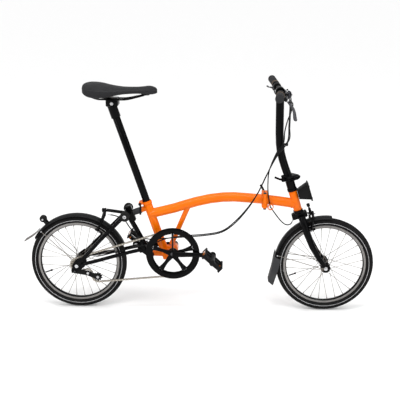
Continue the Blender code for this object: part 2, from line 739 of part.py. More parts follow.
def handlebar(parts):
    stations = [-0.276, -0.200, -0.120, -0.045, -0.030, -0.022, 0.022, 0.030, 0.045, 0.120, 0.200, 0.276]
    radii = [0.0127 if abs(y) < 0.03 else BAR_R for y in stations]
    bar = tube([bar_point(y) for y in stations], BAR_R, 16, radii)
    finish("handlebar", bar, "black_paint", parts)
    for side, name in ((-1, "right"), (1, "left")):
        grip_ends = [bar_point(side * GRIP_INNER), bar_point(side * 0.2750)]
        grip = tube(grip_ends, 0.0160, 16)
        cut(grip, tube([bar_point(side * 0.13), bar_point(side * 0.32)], BAR_R + GAP, 16))
        end = bar_point(side * 0.2800)
        cap = rod(end, end + Vector((0, side * 0.0025, 0)), 0.0150, 16)
        along = end - bar_point(side * 0.27)
        neck = ring(0.0160, BAR_R + GAP, 0.0035, bar_point(side * 0.2775), along, 16)
        join(grip, neck, cap)
        finish("grip_" + name, grip, "rubber", parts)
        mount = bar_ring(side * 0.1480, 0.0160, BAR_R + GAP, 0.0080)
        slope = Matrix.Rotation(radians(37), 4, "Y")
        middle = bar_point(side * 0.1480) + Vector((0.0175, 0, -0.0132))
        arm = block((0.024, 0.014, 0.012), middle, slope, 0.002)
        join(mount, arm)
        cut(mount, tube([bar_point(side * 0.11), bar_point(side * 0.19)], BAR_R + GAP, 16))
        finish("lever_mount_" + name, mount, "black_paint", parts)
        pivot = brake_pivot(side)
        blade = lever(
            pivot,
            LEVER_AXIS,
            0.0065,
            0.0030,
            pivot + Vector((0.017, side * 0.098, -0.050)),
            pivot + Vector((0.015, side * 0.040, -0.022)),
            0.0045,
        )
        finish("brake_lever_" + name, blade, "aluminium", parts, pivot)


def brake_pivot(side):
    return bar_point(side * 0.1480) + Vector((0.0345, side * 0.006, -0.0260))


def bar_fittings(parts):
    base = bar_ring(-0.0900, 0.0150, BAR_R + GAP, 0.0060)
    seat = bar_point(-0.0900)
    join(base, rod(seat + Vector((0.010, 0, 0)), seat + Vector((0.030, 0, -0.002)), 0.0060, 12))
    cut(base, tube([bar_point(-0.07), bar_point(-0.11)], BAR_R + GAP, 16))
    centre = bar_point(-0.0900) + Vector((0.0295, 0, -0.002))
    dome = [(0.0, 0.0150), (0.0080, 0.0140), (0.0140, 0.0100), (0.0170, 0.0040)]
    dome += [(0.0175, 0.0), (0.0, 0.0)]
    join(base, turned(dome, centre, (1, 0, 0), 20))
    finish("bell", base, "steel", parts)
    pod = bar_ring(0.1120, 0.0165, BAR_R + GAP, 0.0110)
    finish("shifter_pod", pod, "black_plastic", parts)
    centre = bar_point(0.1120) + Vector((-0.0240, 0, -0.004))
    tip = centre + Vector((-0.016, 0.030, 0.002))
    bend = centre + Vector((-0.010, 0.012, 0))
    paddle = lever(centre, (0.3, 0, 1), 0.0060, 0.0030, tip, bend, 0.0038)
    finish("shifter_lever", paddle, "aluminium", parts, centre)


def saddle_group(parts):
    top = seat_line(0.862)
    post = rod(seat_line(0.365), top, SEATPOST_R, 24)
    finish("seatpost", post, "black_paint", parts, top)
    head = block((0.050, 0.062, 0.034), (-0.3560, 0, 0.9050), None, 0.004)
    neck = rod(seat_line(0.840), seat_line(0.895), 0.0200, 20)
    join(head, neck)
    cut(head, rod(seat_line(0.80), seat_line(0.8625), SEATPOST_R + GAP, 24))
    rail_y, rail_z = 0.0220, 0.9170
    for side in (-1, 1):
        cut(head, rod((-0.40, side * rail_y, rail_z), (-0.30, side * rail_y, rail_z), 0.0035 + GAP, 12))
    finish("saddle_clamp", head, "black_paint", parts)
    rails = [
        (-0.4520, 0.0380, 0.9290),
        (-0.4200, 0.0260, rail_z + 0.003),
        (-0.4000, rail_y, rail_z),
        (-0.3000, rail_y, rail_z),
        (-0.2550, 0.0160, 0.9260),
        (-0.2250, 0.0080, 0.9330),
    ]
    path = [Vector(p) for p in rails] + [mirrored(p) for p in reversed(rails)]
    finish("saddle_rails", tube(path, 0.0035, 8), "black_paint", parts)
    sections = [
        (-0.4760, 0.028, 0.972, 0.958),
        (-0.4690, 0.058, 0.979, 0.943),
        (-0.4450, 0.077, 0.984, 0.9345),
        (-0.4050, 0.080, 0.982, 0.9335),
        (-0.3600, 0.066, 0.976, 0.9360),
        (-0.3100, 0.044, 0.971, 0.9400),
        (-0.2500, 0.028, 0.970, 0.9440),
        (-0.2050, 0.023, 0.970, 0.9390),
        (-0.1820, 0.017, 0.966, 0.9370),
        (-0.1710, 0.007, 0.955, 0.9420),
    ]
    finish("saddle", loft(sections), "seat_cover", parts)


def loft(sections):
    """A closed cushion from cross-sections (x, half width, top, bottom), rounded at the edges."""
    work = bmesh.new()
    rings = []
    sides = 14
    for x, half, top, bottom in sections:
        loop = []
        for k in range(sides):
            angle = 2 * pi * k / sides
            across = half * abs(cos(angle)) ** 0.7 * (1 if cos(angle) >= 0 else -1)
            rise = abs(sin(angle)) ** 0.8 * (1 if sin(angle) >= 0 else -1)
            middle, height = (top + bottom) / 2, (top - bottom) / 2
            loop.append(work.verts.new((x, across, middle + height * rise)))
        rings.append(loop)
    for first, second in zip(rings, rings[1:]):
        for k in range(sides):
            follow = (k + 1) % sides
            work.faces.new((first[k], first[follow], second[follow], second[k]))
    work.faces.new(rings[0])
    work.faces.new(list(reversed(rings[-1])))
    bmesh.ops.recalc_face_normals(work, faces=work.faces)
    mesh = bpy.data.meshes.new("cushion")
    work.to_mesh(mesh)
    work.free()
    obj = bpy.data.objects.new("cushion", mesh)
    bpy.context.scene.collection.objects.link(obj)
    return obj




def rear_frame(parts):
    """Rear triangle: two ears on the pivot, chain stays, seat stays and the strut between them."""
    junction = Vector((-0.2340, 0, 0.2860))
    strut = tube([ROLLER_AXIS, Vector((-0.2700, 0, 0.3560)), junction], 0.0110, 12)
    bracket = block((0.026, 0.070, BRACKET_THICK), BRACKET, aim(SPRING_LINE), 0.003)
    bridge = rod(BRACKET, REAR_BRAKE + Vector((0.0200, 0, 0)), 0.0070)
    bolt = rod(REAR_BRAKE + Vector((0.0300, 0, 0)), REAR_BRAKE - Vector((0.0020, 0, 0)), 0.0032)
    yoke = block((0.036, 0.060, 0.026), (-0.2440, 0, 0.2760), Matrix.Rotation(radians(-30), 4, "Y"), 0.003)
    cross = rod(ROLLER_AXIS - Vector((0, 0.0500, 0)), ROLLER_AXIS + Vector((0, 0.0500, 0)), 0.0116, 12)
    join(strut, bracket, yoke, bridge, bolt, cross)
    axle_end = Vector((REAR_X, 0, WHEEL_R))
    for side in (-1, 1):
        ear = capsule_outline((REAR_PIVOT.x, REAR_PIVOT.z), (-0.240, 0.272), 0.0140, 0.0120, 8)
        join(strut, side_plate([ear], 0.0080, side * 0.0250))
        chain_stay = [
            Vector((-0.2450, side * 0.0270, 0.2740)),
            Vector((-0.3000, side * 0.0330, 0.2620)),
            Vector((-0.3700, side * 0.0355, 0.2430)),
            Vector((-0.4400, side * 0.0500, 0.2270)),
            Vector((-0.5050, side * 0.0590, 0.2130)),
        ]
        join(strut, tube(chain_stay, 0.0080, 10))
        seat_stay = [
            Vector((-0.3080, side * 0.0310, 0.4290)),
            Vector((-0.3350, side * 0.0330, 0.4060)),
            Vector((-0.4200, side * 0.0390, 0.3200)),
            Vector((-0.4600, side * 0.0565, 0.2780)),
            Vector((-0.4800, side * 0.0610, 0.2560)),
            Vector((-0.5120, side * 0.0605, 0.2220)),
        ]
        join(strut, tube(seat_stay, 0.0085, 10))
        tip = [(-0.4900, 0.2440), (-0.4780, 0.2340), (-0.4880, 0.2060), (-0.5200, 0.1840), (-0.5460, 0.1740)]
        tip += [(-0.5480, 0.1880), (-0.5400, 0.2080), (-0.5330, 0.2260), (-0.5120, 0.2420)]
        join(strut, side_plate([tip], 0.0050, side * 0.0590))
        pin_end = ROLLER_AXIS + Vector((0, side * 0.0500, 0))
        outward = Vector((0, side, 0))
        join(strut, rod(pin_end - outward * 0.003, pin_end + outward * 0.0270, 0.0050, 12))
    bore = Vector((0, 0.10, 0))
    cut(strut, rod(axle_end - bore, axle_end + bore, 0.0052, 12))
    cut(strut, block((0.060, 0.0414, 0.036), REAR_PIVOT + Vector((0.004, 0, 0)), None))
    join(strut, rod(REAR_PIVOT - Vector((0, 0.0310, 0)), REAR_PIVOT + Vector((0, 0.0310, 0)), 0.0052, 16))
    hole = Vector((TENSIONER_PIVOT.x, -0.0590, TENSIONER_PIVOT.z))
    cut(strut, rod(hole - bore * 0.2, hole + bore * 0.2, 0.0040, 12))
    finish("rear_frame", strut, "black_paint", parts, REAR_PIVOT)

    spring_start = SPRING_STOP + SPRING_LINE * GAP
    rubber = rod(spring_start, SPRING_STOP + SPRING_LINE * SPRING_LENGTH, 0.0135, 20)
    finish("suspension_block", rubber, "rubber", parts)


def rollers(parts):
    for side, name in ((-1, "right"), (1, "left")):
        centre = ROLLER_AXIS + Vector((0, side * 0.0650, 0))
        profile = [(0.0205, 0.0070), (0.0205, -0.0070), (0.0185, -0.0105)]
        profile += [(0.0053, -0.0105), (0.0053, 0.0105), (0.0185, 0.0105)]
        finish("roller_" + name, turned(profile, centre, (0, 1, 0), 24), "rubber", parts, centre)
    small = [(0.0150, 0.0080), (0.0150, -0.0080), (0.0125, -0.0105)]
    small += [(0.0026, -0.0105), (0.0026, 0.0105), (0.0125, 0.0105)]
    finish("mudguard_roller", turned(small, GUARD_ROLLER, (0, 1, 0), 20), "rubber", parts, GUARD_ROLLER)


BRAKE_PAD_R = 0.1695
FRONT_BRAKE = Vector((0.4640, 0, 0.4370))
REAR_BRAKE = Vector((-0.4150, 0, 0.4400))
FRONT_PAD_ANGLE = 112
REAR_PAD_ANGLE = 57


def brake_arm(parts, name, pivot, side, axle, pad_angle):
    """One arm of a caliper brake: it turns on the centre bolt and ends in a pad beside the rim."""
    spot = radians(pad_angle)
    pad = axle + Vector((BRAKE_PAD_R * cos(spot), side * 0.0160, BRAKE_PAD_R * sin(spot)))
    front = pivot + Vector((0.0095 if side < 0 else 0.0, 0, 0))
    hub = rod(front, front + Vector((0.0085, 0, 0)), 0.0095, 16)
    root = front + Vector((0.0042, 0, 0))
    shoulder = root + Vector((0, side * 0.0300, -0.014))
    low = Vector((pad.x, side * 0.0290, pad.z + 0.012))
    shoe = block((0.034, 0.0060, 0.0070), pad, Matrix.Rotation(-(spot - pi / 2), 4, "Y"), 0.001)
    join(hub, tube([root, shoulder, low, pad + Vector((0, side * 0.001, 0))], 0.0040, 8), shoe)
    cut(hub, rod(pivot - Vector((0.03, 0, 0)), pivot + Vector((0.03, 0, 0)), 0.0035, 12))
    finish(name, hub, "black_paint", parts, pivot)


def brakes(parts):
    for side, suffix in ((-1, "right"), (1, "left")):
        brake_arm(parts, "front_brake_arm_" + suffix, FRONT_BRAKE, side, FRONT_AXLE, FRONT_PAD_ANGLE)
        brake_arm(parts, "rear_brake_arm_" + suffix, REAR_BRAKE, side, REAR_AXLE, REAR_PAD_ANGLE)


def crank_arm(side, tip_x):
    near = Vector((CRANK_AXIS.x, side * 0.0620, CRANK_AXIS.z))
    far = Vector((tip_x, side * 0.0680, CRANK_AXIS.z))
    arm = tube([near, near.lerp(far, 0.5), far], 0.0120, 8, [0.0135, 0.0105, 0.0100])
    boss = rod(near - Vector((0, side * 0.010, 0)), near + Vector((0, side * 0.008, 0)), 0.0170, 20)
    end = rod(far - Vector((0, side * 0.0075, 0)), far + Vector((0, side * 0.0075, 0)), 0.0140, 16)
    return join(boss, arm, end)


def cranks(parts):
    forward = CRANK_AXIS.x + CRANK_LENGTH
    backward = CRANK_AXIS.x - CRANK_LENGTH
    right = crank_arm(-1, forward)
    for leg in range(5):
        angle = radians(18 + 72 * leg)
        tip = CRANK_AXIS + Vector((0.0770 * cos(angle), -0.0525, 0.0770 * sin(angle)))
        root = CRANK_AXIS + Vector((0.008 * cos(angle), -0.0545, 0.008 * sin(angle)))
        join(right, rod(root, tip, 0.0085, 8, 0.0060))
    cut(right, block((0.2, 0.02, 0.2), (CRANK_AXIS.x, -0.0395, CRANK_AXIS.z)))
    cut(right, rod((CRANK_AXIS.x, -0.20, CRANK_AXIS.z), (CRANK_AXIS.x, 0, CRANK_AXIS.z), 0.0085 + GAP, 16))
    cut(right, rod((forward, -0.12, CRANK_AXIS.z), (forward, -0.02, CRANK_AXIS.z), 0.0065 + GAP, 16))
    finish("crank_right", right, "black_paint", parts, CRANK_AXIS)

    left = crank_arm(1, backward)
    join(left, rod((CRANK_AXIS.x, -0.0660, CRANK_AXIS.z), (CRANK_AXIS.x, 0.060, CRANK_AXIS.z), 0.0085, 16))
    cut(left, rod((backward, 0.02, CRANK_AXIS.z), (backward, 0.12, CRANK_AXIS.z), 0.0065 + GAP, 16))
    finish("crank_left", left, "black_paint", parts, CRANK_AXIS)

    tooth_ring = ring(CHAINRING_R, 0.0840, 0.0015, CRANK_AXIS + Vector((0, CHAINLINE, 0)), (0, 1, 0), 40)
    guard = ring(GUARD_RING_R, 0.0900, 0.0018, CRANK_AXIS + Vector((0, -0.0525, 0)), (0, 1, 0), 40)
    for leg in range(5):
        angle = radians(18 + 72 * leg)
        tab = CRANK_AXIS + Vector((0.0930 * cos(angle), 0, 0.0930 * sin(angle)))
        join(tooth_ring, rod(tab + Vector((0, -0.0530, 0)), tab + Vector((0, -0.0466, 0)), 0.0042, 6))
        inner = CRANK_AXIS + Vector((0.0776 * cos(angle), -0.0497, 0.0776 * sin(angle)))
        outer = CRANK_AXIS + Vector((0.0900 * cos(angle), -0.0497, 0.0900 * sin(angle)))
        join(tooth_ring, rod(inner, outer, 0.0034, 6))
    join(tooth_ring, guard)
    finish("chainring", tooth_ring, "black_paint", parts, CRANK_AXIS)


def pedal(parts, name, side, x):
    """A cage pedal on its spindle, with a reflector block at the front and back."""
    middle_y = side * 0.1240
    centre = Vector((x, middle_y, CRANK_AXIS.z))
    spindle = rod((x, side * 0.0610, CRANK_AXIS.z), (x, side * 0.0805, CRANK_AXIS.z), 0.0065, 12)
    body = rod((x, side * 0.0790, CRANK_AXIS.z), (x, side * 0.1680, CRANK_AXIS.z), 0.0110, 12)
    join(spindle, body)
    turn = Matrix.Rotation(radians(PEDAL_TURN), 4, "Y")
    for edge in (-1, 1):
        rail = block((0.0100, 0.0900, 0.0240), centre + turn @ Vector((edge * 0.0420, 0, 0)), turn, 0.002)
        join(spindle, rail)
        cross = block((0.0900, 0.0080, 0.0160), centre + Vector((0, edge * 0.0400, 0)), turn, 0.002)
        join(spindle, cross)
    finish(name, spindle, "black_plastic", parts, Vector((x, 0, CRANK_AXIS.z)))


def drivetrain(parts):
    hub_middle = REAR_AXLE + Vector((0, CHAINLINE, 0))
    outer = SPROCKET_R - 0.0015
    disc = ring(outer, 0.0090, 0.0013, hub_middle, (0, 1, 0), 26)
    boss = ring(0.0150, 0.0090, 0.0030, hub_middle + Vector((0, 0.0015, 0)), (0, 1, 0), 20)
    join(disc, boss)
    finish("sprocket", disc, "chain_steel", parts, REAR_AXLE)

    for name, centre in (("jockey_wheel", JOCKEY), ("guide_wheel", GUIDE_WHEEL)):
        radius = JOCKEY_R if name == "jockey_wheel" else 0.0125
        wheel_piece = turned(
            [
                (radius - 0.0006, 0.0014),
                (radius - 0.0006, -0.0014),
                (0.0080, -0.0028),
                (0.0032, -0.0028),
                (0.0032, 0.0028),
                (0.0080, 0.0028),
            ],
            centre,
            (0, 1, 0),
            20,
        )
        finish(name, wheel_piece, "black_plastic", parts, centre)

    pivot = (TENSIONER_PIVOT.x, TENSIONER_PIVOT.z)
    guide = (GUIDE_WHEEL.x, GUIDE_WHEEL.z)
    outline = capsule_outline(pivot, guide, 0.0120, 0.0100, 8)
    arm = side_plate([outline], 0.0030, -0.0535)
    lower = capsule_outline(guide, (JOCKEY.x, JOCKEY.z), 0.0100, 0.0120, 8)
    join(arm, side_plate([lower], 0.0030, -0.0535))
    bolt_y = Vector((0, 0.0090, 0))
    for centre in (JOCKEY, GUIDE_WHEEL):
        join(arm, rod(centre - bolt_y, centre + bolt_y * 0.5, 0.0028, 10))
    pivot = Vector((TENSIONER_PIVOT.x, 0, TENSIONER_PIVOT.z))
    join(arm, rod(pivot + Vector((0, -0.0640, 0)), pivot + Vector((0, -0.0530, 0)), 0.0036, 12))
    finish("tensioner_arm", arm, "black_plastic", parts, pivot)
    chain(parts)


def chain(parts):
    """The closed run over the chainring, the sprocket and the two small wheels."""
    half = CHAIN_THICK / 2
    big = (CRANK_AXIS.x, CRANK_AXIS.z)
    small = (REAR_AXLE.x, REAR_AXLE.z)
    guide = (GUIDE_WHEEL.x, GUIDE_WHEEL.z)
    jockey = (JOCKEY.x, JOCKEY.z)
    play = half + 0.0006
    wheels = [
        (big, CHAINRING_R + play, -1),
        (small, SPROCKET_R - 0.0015 + play, -1),
        (guide, 0.0125 + play, 1),
        (jockey, JOCKEY_R + play, -1),
    ]
    path = belt_path(wheels)
    outer = offset_loop(path, half)
    inner = offset_loop(path, -half)
    finish("chain", side_plate([outer, inner], 0.0065, CHAINLINE), "chain_steel", parts)


def belt_path(wheels):
    """Points along a belt that goes round the wheels in turn: +1 turns clockwise, -1 anticlockwise."""
    points = []
    count = len(wheels)
    joints = []
    for index in range(count):
        (ax, az), ra, sa = wheels[index]
        (bx, bz), rb, sb = wheels[(index + 1) % count]
        heading = atan2(bz - az, bx - ax)
        distance = sqrt((bx - ax) ** 2 + (bz - az) ** 2)
        reach = ra - rb if sa == sb else ra + rb
        leave = heading + sa * acos(reach / distance)
        meet = leave if sa == sb else leave + pi
        joints.append((leave, meet))
    for index in range(count):
        centre, radius, sense = wheels[index]
        start = joints[index - 1][1]
        end = joints[index][0]
        turn = (end - start) % (2 * pi)
        if sense > 0:
            turn -= 2 * pi
        steps = max(2, int(abs(turn) / radians(9)))
        for k in range(steps + 1):
            angle = start + turn * k / steps
            points.append(Vector((centre[0] + radius * cos(angle), centre[1] + radius * sin(angle))))
    return points


def offset_loop(path, distance):
    """The closed path moved sideways by distance."""
    moved = []
    count = len(path)
    for index in range(count):
        before, after = path[index - 1], path[(index + 1) % count]
        along = (after - before).normalized()
        moved.append((path[index].x + along.y * distance, path[index].y - along.x * distance))
    return moved


def smooth_path(points, spacing):
    """Points along a smooth curve through the given ones, about spacing apart."""
    points = [Vector(p) for p in points]
    ends = [points[0] * 2 - points[1]] + points + [points[-1] * 2 - points[-2]]
    made = []
    for k in range(1, len(ends) - 2):
        p0, p1, p2, p3 = ends[k - 1 : k + 3]
        steps = max(1, round((p2 - p1).length / spacing))
        for step in range(steps):
            t = step / steps
            second = 2 * p0 - 5 * p1 + 4 * p2 - p3
            third = 3 * p1 - p0 - 3 * p2 + p3
            made.append(0.5 * (2 * p1 + (p2 - p0) * t + second * t * t + third * t**3))
    return made + [points[-1]]


CABLE_R = 0.0025
CABLES = {
    "front_brake_cable": [
        (0.3560, -0.1300, 0.9360),
        (0.3700, -0.1180, 0.9180),
        (0.3660, -0.0860, 0.8800),
        (0.3560, -0.0550, 0.8400),
        (0.3480, -0.0300, 0.7900),
        (0.3450, -0.0240, 0.7430),
        (0.3180, -0.0230, 0.7010),
        (0.2900, -0.0300, 0.6300),
        (0.2850, -0.0310, 0.5700),
        (0.2880, -0.0300, 0.5210),
        (0.2950, -0.0290, 0.4850),
        (0.2990, -0.0160, 0.4640),
        (0.3020, -0.0010, 0.4590),
        (0.3160, 0.0080, 0.4360),
        (0.3460, 0.0190, 0.3950),
        (0.3700, 0.0300, 0.3740),
        (0.3900, 0.0350, 0.3760),
        (0.3990, 0.0330, 0.3950),
    ],
    "rear_brake_cable": [
        (0.3560, 0.1300, 0.9340),
        (0.3760, 0.1120, 0.9180),
        (0.3790, 0.0700, 0.8850),
        (0.3730, 0.0250, 0.8500),
        (0.3690, -0.0120, 0.8050),
        (0.3660, -0.0310, 0.7550),
        (0.3200, -0.0310, 0.6980),
        (0.2780, -0.0390, 0.6080),
        (0.2450, -0.0400, 0.5350),
        (0.2040, -0.0380, 0.4650),
        (0.1510, -0.0330, 0.3990),
        (0.0950, -0.0280, 0.3560),
        (0.0240, -0.0260, 0.3400),
        (-0.0600, -0.0255, 0.3320),
        (-0.1670, -0.0250, 0.3230),
        (-0.2150, -0.0240, 0.3200),
        (-0.2620, -0.0190, 0.3300),
        (-0.2950, -0.0160, 0.3660),
        (-0.3200, -0.0120, 0.4000),
        (-0.3560, -0.0110, 0.4180),
        (-0.3880, -0.0110, 0.4240),
    ],
    "shift_cable": [
        (0.3040, 0.0960, 0.9560),
        (0.3170, 0.0870, 0.9240),
        (0.3640, 0.0640, 0.9180),
        (0.3700, 0.0280, 0.8900),
        (0.3670, -0.0080, 0.8550),
        (0.3640, -0.0350, 0.8180),
        (0.3590, -0.0410, 0.7500),
        (0.3160, -0.0390, 0.6860),
        (0.2760, -0.0460, 0.6080),
        (0.2430, -0.0470, 0.5350),
        (0.2020, -0.0450, 0.4700),
        (0.1480, -0.0400, 0.4060),
        (0.0950, -0.0350, 0.3640),
        (0.0240, -0.0330, 0.3480),
        (-0.0600, -0.0325, 0.3400),
        (-0.1400, -0.0325, 0.3260),
        (-0.1900, -0.0360, 0.3080),
        (-0.2500, -0.0370, 0.2930),
        (-0.3000, -0.0360, 0.2790),
        (-0.3700, -0.0390, 0.2610),
        (-0.4200, -0.0400, 0.2480),
        (-0.4500, -0.0410, 0.2440),
    ],
}


def cables(parts):
    for name, route in CABLES.items():
        finish(name, tube(smooth_path(route, 0.040), CABLE_R, 6), "black_plastic", parts)


def main():
    clear_scene()
    parts = new_collection("folding_bicycle")
    main_frame(parts)
    front_frame(parts)
    hinge_and_seat_clamps(parts)
    crank_bearing(parts)
    headset(parts)
    carrier_block(parts)
    fork(parts)
    stem(parts)
    wheel(parts, "front", FRONT_AXLE, 0.0475, 0.030)
    wheel(parts, "rear", REAR_AXLE, 0.0555, 0.034)
    guards(parts)
    handlebar(parts)
    bar_fittings(parts)
    saddle_group(parts)
    rear_frame(parts)
    rollers(parts)
    brakes(parts)
    cranks(parts)
    pedal(parts, "pedal_right", -1, CRANK_AXIS.x + CRANK_LENGTH)
    pedal(parts, "pedal_left", 1, CRANK_AXIS.x - CRANK_LENGTH)
    drivetrain(parts)
    cables(parts)


main()
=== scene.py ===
"""Folding bicycle in a plain studio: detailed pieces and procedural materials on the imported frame."""

import json
from math import acos, atan2, cos, pi, radians, sin, sqrt

import bmesh
import bpy
from mathutils import Matrix, Vector


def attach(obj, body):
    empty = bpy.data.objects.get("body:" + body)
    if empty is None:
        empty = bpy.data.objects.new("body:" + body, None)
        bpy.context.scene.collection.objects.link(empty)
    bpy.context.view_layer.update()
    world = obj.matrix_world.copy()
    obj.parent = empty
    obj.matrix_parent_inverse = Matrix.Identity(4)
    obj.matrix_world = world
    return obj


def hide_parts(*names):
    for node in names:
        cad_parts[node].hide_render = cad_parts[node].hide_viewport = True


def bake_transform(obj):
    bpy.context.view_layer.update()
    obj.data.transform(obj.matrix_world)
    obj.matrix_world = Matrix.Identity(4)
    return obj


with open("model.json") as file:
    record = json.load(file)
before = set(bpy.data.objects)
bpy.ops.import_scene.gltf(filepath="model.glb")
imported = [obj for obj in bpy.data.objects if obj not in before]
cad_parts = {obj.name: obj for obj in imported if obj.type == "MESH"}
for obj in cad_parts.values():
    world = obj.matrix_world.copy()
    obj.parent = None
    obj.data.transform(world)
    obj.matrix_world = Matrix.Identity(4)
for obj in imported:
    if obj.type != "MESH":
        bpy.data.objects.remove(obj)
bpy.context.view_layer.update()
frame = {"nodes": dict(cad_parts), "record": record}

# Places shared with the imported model, in metres; Y is across the bicycle and the front is at +X
REAR_AXLE = Vector((-0.523, 0, 0.208))
FRONT_AXLE = Vector((0.537, 0, 0.208))
CRANK_AXIS = Vector((-0.112, 0, 0.266))
REAR_PIVOT = Vector((-0.208, 0, 0.25))
SEAT_POINT = Vector((-0.224, 0, 0.482))
SEAT_TILT = radians(18.4)
SEAT_UP = Vector((-sin(SEAT_TILT), 0, cos(SEAT_TILT)))
HEAD_TILT = radians(17)
STEER_POINT = Vector((0.391, 0, 0.531))
STEER_UP = Vector((-sin(HEAD_TILT), 0, cos(HEAD_TILT)))
STEER_FORWARD = Vector((cos(HEAD_TILT), 0, sin(HEAD_TILT)))
HINGE_PIN_TOP = Vector((0.274, -0.03, 0.529))
BAR_CENTRE = Vector((0.327, 0, 0.95))
BAR_R = 0.0111
BAR_HALF = 0.28
BAR_SLEEVE = BAR_R + 0.0003

# Wheels, drive and guards
TYRE_R = 0.017
TYRE_MIDDLE = 0.191
RIM_OUTER = 0.1765
RIM_INNER = 0.1635
SPOKES = 28
CRANK_LENGTH = 0.17
PEDAL_TURN = radians(42)
CHAIN_PITCH = 0.0127
CHAIN_PLAY = 0.0006
CHAINRING_TEETH = 50
SPROCKET_TEETH = 13
JOCKEY_R = 0.019
GUIDE_WHEEL_R = 0.0125
BRAKE_SHOE_R = 0.1695
GUARD_R = 0.2165
GUARD_HALF = 0.022
CHAINLINE = -0.047
CHAINRING_R = 0.0975
SPROCKET_R = 0.0251
CHAIN_HALF = 0.004
TENSIONER_PIVOT = Vector((-0.533, -0.056, 0.183))
JOCKEY = Vector((-0.436, CHAINLINE, 0.155))
GUIDE_WHEEL = Vector((-0.478, CHAINLINE, 0.172))
ROLLER_AXIS = Vector((-0.311, 0, 0.432))
GUARD_ROLLER = Vector((-0.67, 0, 0.399))
FRONT_BRAKE = Vector((0.464, 0, 0.437))
REAR_BRAKE = Vector((-0.415, 0, 0.44))
ALONG_Y = Vector((0, 1, 0))
SPIDER_ANGLES = [radians(18 + 72 * leg) for leg in range(5)]
SIDES = ((-1, "right"), (1, "left"))

# Studio
STUDIO_GREY = 0.93
CAMERA_PLACE = Vector((0.1179, -3.2051, 1.4305))
CAMERA_AIM = Vector((0.002, 0, 0.489))
CAMERA_LENS = 71.18


def seat_line(z, forward=0.0, y=0.0):
    """The point on the saddle post's axis at height z, moved forward and across."""
    rise = (z - SEAT_POINT.z) / SEAT_UP.z
    return SEAT_POINT + SEAT_UP * rise + Vector((forward, y, 0))


def steer_line(s, forward=0.0, y=0.0):
    """The point at distance s up the steering axis, moved forward from it and across."""
    return STEER_POINT + STEER_UP * s + STEER_FORWARD * forward + ALONG_Y * y


def radial(angle, radius=1.0, y=0.0):
    """A step of radius away from a cross axle, at angle from +X towards +Z."""
    return Vector((radius * cos(angle), y, radius * sin(angle)))


def mirrored(half):
    """A profile of (radius, height) points and its reflection in height 0."""
    return half + [(r, -h) for r, h in reversed(half)]


def ring(inner, outer, low, high):
    """The square profile of a ring or, from radius 0, of a disc."""
    return [(inner, low), (outer, low), (outer, high), (inner, high)]


def band(inner, outer, half, ease, drop):
    """The profile of a ring round a tube, with its outer edges eased."""
    return mirrored([(inner, -half), (outer - ease, -half), (outer, drop - half)])


def bar_point(y):
    """The middle of the handlebar at y, on its slight sweep back and up."""
    out = max(0.0, abs(y) - 0.045) / (BAR_HALF - 0.045)
    return Vector((BAR_CENTRE.x - 0.02 * out, y, BAR_CENTRE.z + 0.014 * out))


# Materials


class Nodes:
    """A Principled material and short ways to add nodes to it."""

    def __init__(self, name, colour, roughness, metallic=0.0, **settings):
        self.material = bpy.data.materials.new(name)
        self.material.use_nodes = True
        self.tree = self.material.node_tree
        self.shader = self.tree.nodes["Principled BSDF"]
        self.shader.inputs["Base Color"].default_value = (*colour, 1)
        self.shader.inputs["Roughness"].default_value = roughness
        self.shader.inputs["Metallic"].default_value = metallic
        for key, value in settings.items():
            self.shader.inputs[key.replace("_", " ")].default_value = value
        self.place = self.tree.nodes.new("ShaderNodeTexCoord").outputs["Object"]

    def node(self, kind, **sockets):
        made = self.tree.nodes.new("ShaderNode" + kind)
        for key, value in sockets.items():
            self.feed(made.inputs[key.replace("_", " ")], value)
        return made

    def feed(self, socket, value):
        if isinstance(value, bpy.types.NodeSocket):
            self.tree.links.new(value, socket)
        else:
            socket.default_value = value

    def stretched(self, scale):
        moved = self.node("Mapping", Vector=self.place)
        moved.inputs["Scale"].default_value = scale
        return moved.outputs["Vector"]

    def noise(self, scale, detail=4.0, rough=0.55, where=None):
        made = self.node("TexNoise", Scale=scale, Detail=detail, Roughness=rough)
        self.feed(made.inputs["Vector"], where or self.place)
        return made.outputs["Fac"]

    def cells(self, scale, feature="F1", where=None):
        made = self.node("TexVoronoi", Scale=scale)
        made.feature = feature
        self.feed(made.inputs["Vector"], where or self.place)
        return made.outputs["Distance"]

    def spread(self, value, low, high, start=0.3, end=0.7):
        made = self.node("MapRange", Value=value, From_Min=start, From_Max=end, To_Min=low, To_Max=high)
        return made.outputs["Result"]

    def mix(self, factor, first, second):
        made = self.node("Mix")
        made.data_type = "RGBA"
        self.feed(made.inputs[0], factor)
        self.feed(made.inputs[6], (*first, 1) if isinstance(first, tuple) else first)
        self.feed(made.inputs[7], (*second, 1) if isinstance(second, tuple) else second)
        return made.outputs[2]

    def colour(self, value):
        self.feed(self.shader.inputs["Base Color"], value)

    def roughness(self, value):
        self.feed(self.shader.inputs["Roughness"], value)

    def bump(self, height, distance, strength=1.0):
        made = self.node("Bump", Height=height, Strength=strength, Distance=distance)
        before = self.shader.inputs["Normal"].links
        if before:
            self.tree.links.new(before[0].from_socket, made.inputs["Normal"])
        self.tree.links.new(made.outputs["Normal"], self.shader.inputs["Normal"])


def paint(name, colour, deep, roughness, gloss=0.14):
    made = Nodes(name, colour, roughness, Coat_Weight=gloss, Coat_Roughness=0.06, Specular_IOR_Level=gloss)
    made.colour(made.mix(made.spread(made.noise(9.0), 0, 1), deep, colour))
    made.roughness(made.spread(made.noise(60.0, 6.0), roughness - 0.04, roughness + 0.07))
    made.bump(made.noise(420.0, 2.0), 0.0001, 0.25)
    return made.material


